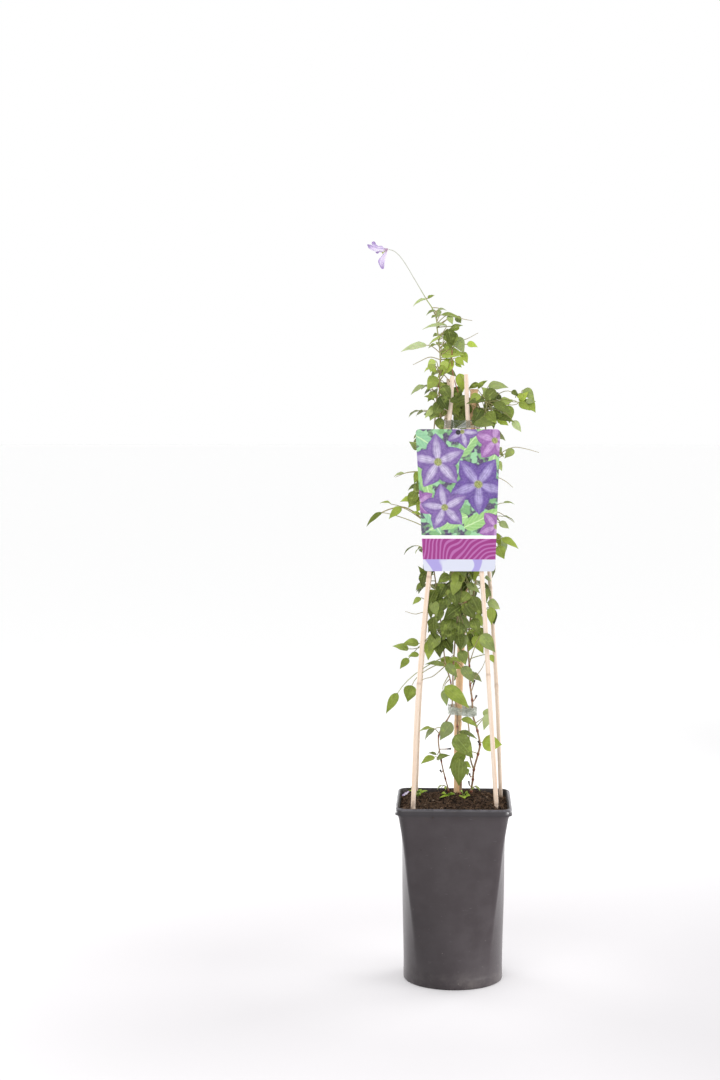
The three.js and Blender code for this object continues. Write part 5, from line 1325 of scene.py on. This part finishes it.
front = [on_label(v.co.x, v.co.y, LABEL["thick"] + card_bow(v.co.x, v.co.y)) for v in flat.verts]
back = [on_label(v.co.x, v.co.y, card_bow(v.co.x, v.co.y)) for v in flat.verts]
sheet = [tuple(v.index for v in face.verts) for face in flat.faces]
rim_edges = [tuple(v.index for v in edge.verts) for edge in flat.edges if len(edge.link_faces) == 1]
map_of = [(v.co.x / PRINT_WIDE + 0.5, v.co.y / PRINT_TALL) for v in flat.verts] * 2
count = len(front)
card_faces = sheet + [tuple(i + count for i in face[::-1]) for face in sheet]
card_faces += [(a, b, b + count, a + count) for a, b in rim_edges]
flat.free()

printed = Finish("Printed card front", {"Roughness": 0.3, "Specular IOR Level": 0.5, "Coat Weight": 0.25,
                                        "Coat Roughness": 0.18})
w = printed
spot = w.out("ShaderNodeUVMap", uv_map="print")
across = w.times(w.calc("SUBTRACT", w.part(spot, "X"), 0.5), PRINT_WIDE)
upward = w.times(w.part(spot, "Y"), PRINT_TALL)
sheet_place = w.out("ShaderNodeCombineXYZ", {"X": across, "Y": upward})


def smudged(w, vector, amount, scale):
    """The place again, pushed about a little, so that printed shapes have soft living edges."""
    push = w.vector("SUBTRACT", w.noise(vector, scale, 2, 0.5, pick="Color"), (0.5, 0.5, 0.5))
    return w.vector("ADD", vector, w.vector("SCALE", push, scale=amount))


def printed_leaf(w, under, place, middle, size, turn, colours):
    """A broad pointed leaf with a pale midrib, laid over the print so far."""
    near = w.vector("SUBTRACT", place, (*middle, 0))
    near = w.out("ShaderNodeVectorRotate", {"Vector": near, "Angle": math.radians(turn)},
                 rotation_type="Z_AXIS")
    endwise = w.part(near, "X")
    run = w.calc("DIVIDE", endwise, float(size))
    swell = w.calc("SQRT", w.calc("SUBTRACT", 1.0, w.times(run, run), clamp=True))
    width = w.times(swell, w.calc("MULTIPLY_ADD", run, -0.14 * size, 0.32 * size))
    off = w.calc("ABSOLUTE", w.part(near, "Y"))
    inside = w.remap(w.calc("SUBTRACT", width, off), 0.0, 0.9)
    veins = w.calc("SINE", w.calc("MULTIPLY_ADD", off, 1.5, w.times(endwise, -0.9)))
    leaf = w.blend(w.remap(veins, -0.2, 1.0, 0.0, 0.5), colours[0], colours[1])
    leaf = w.blend(w.remap(off, 0.3, 1.0, 0.7, 0.0), leaf, (0.6, 0.78, 0.42))
    return w.blend(inside, under, leaf)


def printed_bloom(w, under, place, middle, size, turn, petals, colours):
    """A star of pointed petals, pale along their middles, round a tuft of yellow-green threads."""
    near = w.vector("SUBTRACT", place, (*middle, 0))
    far = w.calc("DIVIDE", w.length(near), float(size))
    angle = w.calc("ARCTAN2", w.part(near, "Y"), w.part(near, "X"))
    angle = w.calc("ADD", angle, math.radians(turn) + 2 * math.pi)
    sector = w.calc("SUBTRACT", w.calc("FRACT", w.times(angle, petals / (2 * math.pi))), 0.5)
    lean = w.times(sector, 2 * math.pi / petals)
    off = w.calc("ABSOLUTE", w.times(far, w.calc("SINE", lean)))
    run = w.times(far, w.calc("COSINE", lean))
    swell = w.calc("SINE", w.times(w.calc("POWER", w.calc("MINIMUM", run, 1.0), 0.8), math.pi))
    width = w.times(swell, 1.9 / petals)
    inside = w.remap(w.calc("SUBTRACT", width, off), -0.005, 0.04)
    share = w.calc("DIVIDE", off, w.calc("MAXIMUM", width, 0.02))
    streaks = w.calc("SINE", w.times(share, 17.0))
    petal = w.blend(w.remap(share, 0.05, 0.5), colours[0], colours[1])
    petal = w.blend(w.remap(streaks, 0.2, 1.0, 0.0, 0.3), petal, colours[2])
    petal = w.blend(w.remap(run, 0.5, 0.95, 0.0, 0.8), petal, colours[1])
    petal = w.blend(w.remap(share, 0.7, 1.0, 0.0, 0.8), petal, colours[2])
    shade = w.noise(place, 0.14, 3, 0.6)
    petal = w.blend(w.remap(shade, 0.35, 0.7, 0.0, 0.45), petal, colours[2])
    print_now = w.blend(inside, under, petal)
    tuft = w.out("ShaderNodeTexVoronoi", {"Vector": near, "Scale": 1.1}, pick="Distance")
    tuft = w.blend(w.remap(tuft, 0.15, 0.5), (0.62, 0.66, 0.22), (0.2, 0.22, 0.05))
    return w.blend(w.remap(far, 0.1, 0.17, 1.0, 0.0), print_now, tuft)


soft = smudged(w, sheet_place, 2.2, 0.12)
gaps = w.noise(soft, 0.075, 2, 0.5)
picture = w.blend(w.remap(gaps, 0.44, 0.56), (0.06, 0.035, 0.1), (0.17, 0.38, 0.15))
picture = w.blend(w.remap(w.noise(soft, 0.11, 1, 0.5), 0.52, 0.6), picture, (0.28, 0.55, 0.3))
for middle, size, turn, colours in (
        ((-30, 148), 24, 30, ((0.22, 0.47, 0.26), (0.3, 0.58, 0.34))),
        ((18, 150), 22, -50, ((0.24, 0.46, 0.16), (0.36, 0.6, 0.24))),
        ((-34, 104), 25, 75, ((0.27, 0.5, 0.17), (0.38, 0.63, 0.25))),
        ((42, 116), 20, 100, ((0.3, 0.52, 0.2), (0.4, 0.64, 0.3))),
        ((34, 62), 26, -25, ((0.26, 0.5, 0.15), (0.4, 0.64, 0.24))),
        ((-8, 56), 24, 160, ((0.3, 0.55, 0.2), (0.42, 0.66, 0.28))),
        ((-26, 60), 20, 60, ((0.22, 0.47, 0.28), (0.32, 0.58, 0.38)))):
    picture = printed_leaf(w, picture, soft, middle, size, turn, colours)
LILAC = ((0.62, 0.55, 0.74), (0.19, 0.1, 0.34), (0.08, 0.035, 0.19))
BLUER = ((0.46, 0.39, 0.68), (0.13, 0.06, 0.31), (0.055, 0.02, 0.17))
PINKISH = ((0.6, 0.36, 0.66), (0.29, 0.1, 0.35), (0.15, 0.04, 0.2))
for middle, size, turn, petals, colours in (
        ((46, 152), 26, 20, 5, PINKISH), ((-43, 80), 20, 5, 5, PINKISH), ((8, 162), 20, 40, 5, LILAC),
        ((48, 52), 22, 50, 5, PINKISH), ((-20, 127), 34, 12, 5, LILAC), ((27, 101), 36, 52, 5, BLUER),
        ((-12, 74), 29, 80, 5, LILAC)):
    picture = printed_bloom(w, picture, soft, middle, size, turn, petals, colours)
picture = w.blend(w.remap(w.noise(sheet_place, 0.5, 3, 0.6), 0.4, 0.75, 0.0, 0.1), picture,
                  (0.8, 0.84, 0.88))
# the band's lines run like ripples round a point off the card's lower corner
ripple = w.length(w.vector("SUBTRACT", sheet_place, RIPPLE_MIDDLE))
wander = w.noise(sheet_place, 0.022, 1, 0.4)
flow = w.calc("SINE", w.calc("ADD", w.times(wander, 46.0), ripple))
band = w.blend(w.remap(flow, 0.1, 0.4), (0.28, 0.016, 0.19), (0.4, 0.1, 0.34))
band = w.blend(w.remap(flow, 0.8, 0.97, 0.0, 0.35), band, (0.47, 0.15, 0.4))
# and faint wider ones cross the pale strip at its foot
wash = w.calc("SINE", w.times(w.calc("ADD", w.times(wander, 60.0), across), 0.16))
strip = w.blend(w.remap(wash, 0.55, 0.75), (0.6, 0.62, 0.73), (0.36, 0.31, 0.64))
over_strip = w.calc("GREATER_THAN", upward, STRIP_TOP)
strip = w.blend(over_strip, strip, (0.9, 0.9, 0.9))
face = w.blend(w.calc("GREATER_THAN", upward, PICTURE_FOOT), strip, picture)
in_band = w.times(over_strip, w.calc("LESS_THAN", upward, BAND_TOP))
face = w.blend(in_band, face, band)
w.fill(w.shader, {"Base Color": face, "Normal": w.bump(w.noise(w.place, 900, 2, 0.5), 0.00006, 0.4)})

plain_card = Finish("White card back", {"Roughness": 0.5})
w = plain_card
card_white = w.blend(w.noise(w.place, 300, 4, 0.6), (0.74, 0.74, 0.73), (0.82, 0.82, 0.81))
w.fill(w.shader, {"Base Color": card_white,
                  "Normal": w.bump(w.noise(w.place, 1400, 2, 0.5), 0.00008, 0.5)})
label = make_piece("picture_label", front + back, card_faces, printed.skin, plain_card.skin, sharp=50)
print_map = label.data.uv_layers.new(name="print")
for loop_corner in label.data.loops:
    print_map.data[loop_corner.index].uv = map_of[loop_corner.vertex_index]
for face in label.data.polygons:
    face.material_index = 0 if face.index < len(sheet) else 1
stand_for(label, "card", "label")

peg_black = Finish("Black peg plastic", {"Specular IOR Level": 0.5})
w = peg_black
worn = w.noise(w.place, 900, 3, 0.6)
w.fill(w.shader, {"Base Color": w.blend(worn, (0.008, 0.008, 0.01), (0.022, 0.022, 0.025)),
                  "Roughness": w.remap(worn, 0.3, 0.7, 0.25, 0.42), "Normal": w.bump(worn, 0.0001, 0.4)})
# pairs of a radius and how far out of the card's middle, from the peg's inner end to its head
PEG_PROFILE = [(1.6, -1.6), (2.1, -1.5), (2.3, -1.25), (2.25, -0.7), (1.1, -0.62), (1.1, 0.62),
               (2.55, 0.62), (2.75, 0.72), (2.8, 0.95), (2.72, 1.3), (2.35, 1.75), (1.7, 2.05),
               (1.1, 2.1), (0.9, 1.9), (0.45, 1.85)]
PEG_ENDS = (-1.3, 2.15)
peg_rings = [[on_label(x, up, out + LABEL["thick"] / 2)
              for x, up in circle(36, radius, PEG_PLACE[0], peg_up)] for radius, out in PEG_PROFILE]
peg_ends = [on_label(PEG_PLACE[0], peg_up, out) for out in PEG_ENDS]
peg = make_piece("label_push_peg", *loft(peg_rings, *peg_ends), peg_black.skin, sharp=50)
stand_for(peg, "peg", "label_peg")

# ======== Flower ========
# One small bell flower nods at the tip of the tallest shoot: four thin, crumpled violet sepals,
# darker at their curled tips, round a tuft of yellow-green stamens.
FLOWER = Vector((-80.6, 0, 865.2))
# For each sepal its path from the flower's middle, its widths along it and the way it faces.
SEPALS = [
    ([(-1, 0.6, 0.2), (-7, 3, 2), (-14, 5, 3), (-16.5, 6, 9.5)], (2.4, 5, 8, 4), (0.3, -0.7, 0.7)),
    ([(-1, -0.6, -0.2), (-8, -2.4, -0.6), (-15.5, -4, 0), (-22.5, -5, 5.2)], (2.4, 5, 8, 3),
     (0.1, -0.7, 0.7)),
    ([(-0.6, 1.4, -0.4), (-6.5, 6.5, -1), (-13, 9, -3)], (2.4, 6, 4), (-0.2, 0.5, 0.8)),
    ([(-0.5, -0.8, -1.2), (-2.8, -2, -7.5), (-6, -3, -14), (-4.6, -2.6, -22.5)], (1.8, 4.6, 8, 3.6),
     (-0.2, -1, 0.1)),
]
SEPAL_THICKNESS = 0.35
SEPAL_COLUMNS = 10


def crumpled_sheet(path, widths, facing, seed, steps=9):
    """A thin closed petal along a path, cupped, creased lengthwise and frilled at its edges."""
    line = smooth(path, steps)
    facing = Vector(facing)
    top, under, layers = [], [], []
    last = len(line) - 1
    for i, point in enumerate(line):
        t = i / last
        way = (line[min(i + 1, last)] - line[max(i - 1, 0)]).normalized()
        across = way.cross(facing).normalized()
        up = across.cross(way)
        width = eased([(k / (len(widths) - 1), value) for k, value in enumerate(widths)], t, 0.06)
        width *= min(1, 0.25 + (1 - t) * 7) ** 0.5
        for c in range(SEPAL_COLUMNS + 1):
            s = 2 * c / SEPAL_COLUMNS - 1
            crease = 0.28 * math.sin(6 * s + seed + 2.2 * t) + 0.2 * math.sin(11 * s - 3 * t + 2 * seed)
            frill = 0.75 * math.sin(19 * t + 2.3 * seed + 1.4 * s) * abs(s) ** 3
            rise = 0.1 * width * abs(s) + (crease + frill) * min(1, width / 5) * min(1, 5 * t)
            spot = point + across * (width / 2 * s) + up * rise
            top.append(spot)
            under.append(spot - up * SEPAL_THICKNESS)
            layers.append((t, s))
    wide = SEPAL_COLUMNS + 1
    base = len(top)
    faces = []
    for i in range(last):
        for c in range(SEPAL_COLUMNS):
            a = i * wide + c
            faces.append((a, a + 1, a + wide + 1, a + wide))
            faces.append((a + base, a + wide + base, a + wide + 1 + base, a + 1 + base))
        for a in (i * wide, i * wide + SEPAL_COLUMNS):
            faces.append((a, a + wide, a + wide + base, a + base))
    for i in (0, last):
        for c in range(SEPAL_COLUMNS):
            a = i * wide + c
            faces.append((a, a + 1, a + 1 + base, a + base))
    return top + under, faces, layers * 2


sepal_skin = Finish("Violet sepal", {"Roughness": 0.62, "Specular IOR Level": 0.25, "Sheen Weight": 0.25,
                                     "Sheen Roughness": 0.5, "Subsurface Weight": 0.25,
                                     "Subsurface Radius": (0.9, 0.6, 1.0), "Subsurface Scale": 0.001})
w = sepal_skin
tip, side = w.named("t"), w.calc("ABSOLUTE", w.named("side"))
mottle = w.noise(w.place, 220, 2, 0.5)
violet = w.blend(w.remap(w.calc("ADD", tip, w.times(mottle, 0.5)), 0.75, 1.35), (0.69, 0.64, 0.76),
                 (0.27, 0.17, 0.42))
violet = w.blend(w.remap(tip, 0.0, 0.22, 0.75, 0.0), violet, (0.36, 0.2, 0.3))
violet = w.blend(w.remap(w.named("side"), 0.4, 1.0, 0.0, 0.75), violet, (0.25, 0.14, 0.42))
veins = w.calc("SINE", w.times(side, 24.0))
violet = w.blend(w.remap(veins, 0.3, 1.0, 0.0, 0.2), violet, (0.42, 0.3, 0.58))
relief = w.calc("ADD", mottle, w.times(veins, 0.4))
w.fill(w.shader, {"Base Color": violet, "Normal": w.bump(relief, 0.00012, 0.6)})


def sheet_piece(name, sheets, skin, *more):
    """Several crumpled sheets, and any closed bodies given with them, as one mesh with their layers."""
    points, faces, layers = [], [], []
    for sheet_points, sheet_faces, sheet_layers in (*sheets, *more):
        faces += [tuple(i + len(points) for i in face) for face in sheet_faces]
        points += sheet_points
        layers += sheet_layers
    made = make_piece(name, points, faces, skin, sharp=55)
    set_layer(made.data, "t", "FLOAT", [t for t, _ in layers])
    set_layer(made.data, "side", "FLOAT", [s for _, s in layers])
    return made


def bead(middle, radius, squash=1.0):
    """A small closed bead, lofted from rings."""
    x, y, z = middle
    rings = []
    for r in range(1, 9):
        turn = math.pi * r / 9
        level = z - radius * squash * math.cos(turn)
        rings.append([(*point, level) for point in circle(16, radius * math.sin(turn), x, y)])
    points, faces = loft(rings, (x, y, z - radius * squash), (x, y, z + radius * squash))
    return points, faces, [(0.0, 0.0)] * len(points)


sheets = [crumpled_sheet([FLOWER + Vector(p) for p in path], widths, facing, seed)
          for seed, (path, widths, facing) in enumerate(SEPALS)]
sepals = sheet_piece("flower_sepals_violet", sheets, sepal_skin.skin, bead(FLOWER, 1.7, 0.9))
stand_for(sepals, "sepal", "flower_sepals")

stamen_skin = Finish("Yellow-green stamen", {"Roughness": 0.7, "Specular IOR Level": 0.2})
w = stamen_skin
w.fill(w.shader, {"Base Color": w.blend(w.named("green"), (0.68, 0.62, 0.24), (0.42, 0.48, 0.13)),
                  "Normal": w.bump(w.noise(w.place, 2600, 3, 0.7), 0.0002, 0.9)})
tuft_root = FLOWER + Vector((-3, 0.4, -2.3))
threads = []
for k in range(22):
    ring = 0.35 + 0.65 * ((k * GOLDEN * 1.7) % 1)
    turn = 2 * math.pi * GOLDEN * k
    end = tuft_root + Vector((-2.4 + 0.85 * ring * math.cos(turn), 1.15 * ring * math.sin(turn),
                              -2.1 - 0.85 * ring * math.cos(turn)))
    bow = (tuft_root + end) / 2 + Vector((0, 0.4 * math.sin(turn), 0.3))
    path = smooth([tuft_root, bow, end], 4)
    threads.append([(point, 0.13 if i < 6 else 0.13 + 0.17 * math.sin(math.pi * (i - 5) / 4), i / 8)
                    for i, point in enumerate(path)])
# and the short green neck that they all spring from
threads.append([(tuft_root + Vector((0.8, -0.1, 0.6)) * (1 - k / 3),
                 0.5 + 0.35 * math.sin(math.pi * k / 3), 1.0) for k in range(4)])
stamens = grow("flower_stamen_tuft", threads, 7, stamen_skin.skin)
stand_for(stamens, "stamen", "flower_stamens")

# ======== Weed seedling and fallen petal ========
# A bright green weed has come up in the compost, and a sepal has dropped beside it. Neither
# is fixed: the seedling is rooted there and the petal lies loose.
WEED = (-43, 27)
WEED_SEED, WEED_LOOKS_SEED = 97, 55
# Foot, tip and width of more leaflets: round ones low on the seedling, and others that lean on the mound.
WEED_LEAFLETS = (
    ((-43, 25, 216), (-40, 18, 219), 6.5), ((-45, 27, 217), (-49, 20, 219), 6),
    ((-42, 28, 218), (-37, 24, 221), 5.5), ((12, -6, 222), (14, -14, 221), 8),
    ((14, -6, 222.5), (20, -10, 224), 6.5), ((9, -5, 222.5), (8, -11, 223), 5),
    ((13, -7, 225), (17, -12, 228), 6), ((11, -7, 226), (8, -11, 230), 5),
    ((-9, -3, 224), (-14, -8, 226), 5), ((-5, -3, 224), (-3, -9, 227), 5),
    ((1, -2, 224.5), (-9, -5, 222.5), 3.6), ((-6, -5, 223), (-17, -7, 220), 3.2))
ON_SEEDLING = -30                   # leaflets to the left of this grow from the seedling's top
PETAL = (-58, 37)
weed_foot = Vector((*WEED, soil_height(*WEED)))
weed_top = weed_foot + Vector((0, 0, 4))
random = numbers(WEED_SEED)
weed_leaves = []
for k in range(5):
    turn = 2 * math.pi * GOLDEN * k + 0.4 * next(random)
    out = Vector((math.cos(turn), math.sin(turn), 0.25 + 0.6 * next(random)))
    start = weed_top + out * (2.5 + 2.5 * next(random))
    weed_leaves.append(grown_leaflet(start, start + out * (6 + 2 * next(random)), 4.6, (0, -0.3, 0.95),
                                     weed_top))
for foot, tip, width in WEED_LEAFLETS:
    x, y, _ = foot
    near = weed_top if x < ON_SEEDLING else Vector((x, y + 1, soil_height(x, y) - 1))
    weed_leaves.append(grown_leaflet(foot, tip, width, (0, -0.6, 0.8), near))
weed_green = leaf_finish("Weed leaf", (0.13, 0.24, 0.008), (0.22, 0.38, 0.015), (0.4, 0.52, 0.04),
                         (0.4, 0.52, 0.08), (0.28, 0.42, 0.1))
weed_blades = set_blades("weed_leaves", weed_leaves, numbers(WEED_LOOKS_SEED), weed_green)
weed_bars = [[(weed_foot - Vector((0, 0, 8)), 0.9, 0.8), (weed_foot, 0.85, 0.9), (weed_top, 0.6, 1.0)]]
weed_bars += [stalk_stations(leaf, 1.0) for leaf in weed_leaves]
weed_stalks = grow("weed_stalks", weed_bars, 8, shoot.skin)
stand_for(weed_blades, "weed", "weed_seedling")
stand_for(weed_stalks, "weed", "weed_seedling")

x, y = PETAL
z = soil_height(x, y) + 0.5
petal_path = [(x + 4, y + 2, z + 5), (x - 0.5, y - 0.5, z + 2), (x - 4.4, y - 2, z)]
petal_sheet = crumpled_sheet(petal_path, (2, 4.2, 3.4), (0, -0.2, 1), 2.2)
petal = sheet_piece("fallen_violet_petal", [petal_sheet], sepal_skin.skin)
stand_for(petal, "sepal", "fallen_petal")
bpy.data.objects.remove(blade)

# ======== Studio ========
# A plain white floor under a white sky. A broad soft lamp stands ahead and above, weaker ones at the
# side and behind model the leaves, and three low lamps light the pot's sides alone. The floor is
# painted greyer round the pot as shade, and painted shade darkens it again out to the right.
floor_white = Finish("White studio floor", {"Roughness": 0.7, "Specular IOR Level": 0.2})
w = floor_white
away = w.length(w.place)
# painted shade: the floor is greyest a little way round the pot and whitens farther out
pale = w.blend(w.remap(away, 0.08, 0.3), (0.79, 0.775, 0.79), (0.705, 0.69, 0.705))
pale = w.blend(w.remap(away, 0.3, 1.3), pale, (0.985, 0.985, 0.985))
# painted shade on the floor out to the right of the pot, fading with distance
shade = w.times(w.remap(w.part(w.place, "X"), 0.02, 0.7), w.remap(away, 0.9, 2.4, 0.85, 0.0))
w.fill(w.shader, {"Base Color": w.blend(shade, pale, (0.44, 0.43, 0.445))})
FLOOR_REACH = 30000
floor_corners = [(-FLOOR_REACH, -FLOOR_REACH, 0), (FLOOR_REACH, -FLOOR_REACH, 0),
                 (FLOOR_REACH, FLOOR_REACH, 0), (-FLOOR_REACH, FLOOR_REACH, 0)]
ground = make_piece("studio_floor", floor_corners, [(0, 1, 2, 3)], floor_white.skin)

scene = bpy.context.scene
scene.world = bpy.data.worlds.new("White sky")
scene.world.use_nodes = True
sky = scene.world.node_tree.nodes["Background"]
sky.inputs["Color"].default_value = (1, 1, 1, 1)
sky.inputs["Strength"].default_value = 1.0
scene.view_settings.view_transform = "Standard"
pot_alone = bpy.data.collections.new("Lit by the low lamps")
pot_alone.objects.link(pot)


def soft_lamp(name, place, aim, size, power, low=None):
    """A square lamp, or with a height of its own a low wide one that lights the pot alone."""
    data = bpy.data.lights.new(name, "AREA")
    data.size = size
    data.energy = power
    lamp = bpy.data.objects.new(name, data)
    lamp.location = place
    lamp.rotation_euler = (Vector(aim) - Vector(place)).to_track_quat("-Z", "Y").to_euler()
    scene.collection.objects.link(lamp)
    if low:
        data.shape = "RECTANGLE"
        data.size_y = low
        lamp.light_linking.receiver_collection = pot_alone


soft_lamp("Broad lamp ahead", (-0.7, -1.9, 1.9), (0, 0, 0.45), 1.2, 16)
soft_lamp("Side lamp", (1.6, -0.5, 1.2), (0, 0, 0.5), 0.9, 6)
soft_lamp("Lamp behind left", (-1.3, 1.1, 0.5), (0, 0, 0.12), 0.9, 9)
soft_lamp("Lamp behind right", (1.2, 0.9, 0.5), (0, 0, 0.12), 0.9, 12)
soft_lamp("Low lamp behind left", (-0.95, 0.8, 0.22), (0, 0, 0.1), 1.2, 23, 0.4)
soft_lamp("Low lamp behind right", (0.95, 0.8, 0.22), (0, 0, 0.1), 1.0, 2, 0.4)
soft_lamp("Low lamp at the right", (1.4, -0.8, 0.4), (0, 0, 0.1), 0.7, 40, 0.5)

# The camera stands 2.4 m ahead and 0.7 m up, and looks a little down and to the left.
LOOKS_DOWN = 6.17                   # degrees
TURNED_LEFT = math.atan(95 / 2025)  # radians
camera = bpy.data.objects.new("Camera", bpy.data.cameras.new("Camera"))
camera.location = (0, -2.385, 0.69)
camera.rotation_euler = (math.radians(90 - LOOKS_DOWN), 0, TURNED_LEFT)
camera.data.sensor_fit = "VERTICAL"
camera.data.sensor_height = 36
camera.data.lens = 67.5
camera.data.shift_y = 80 / 1080
camera.data.clip_end = 100
scene.collection.objects.link(camera)
scene.camera = camera
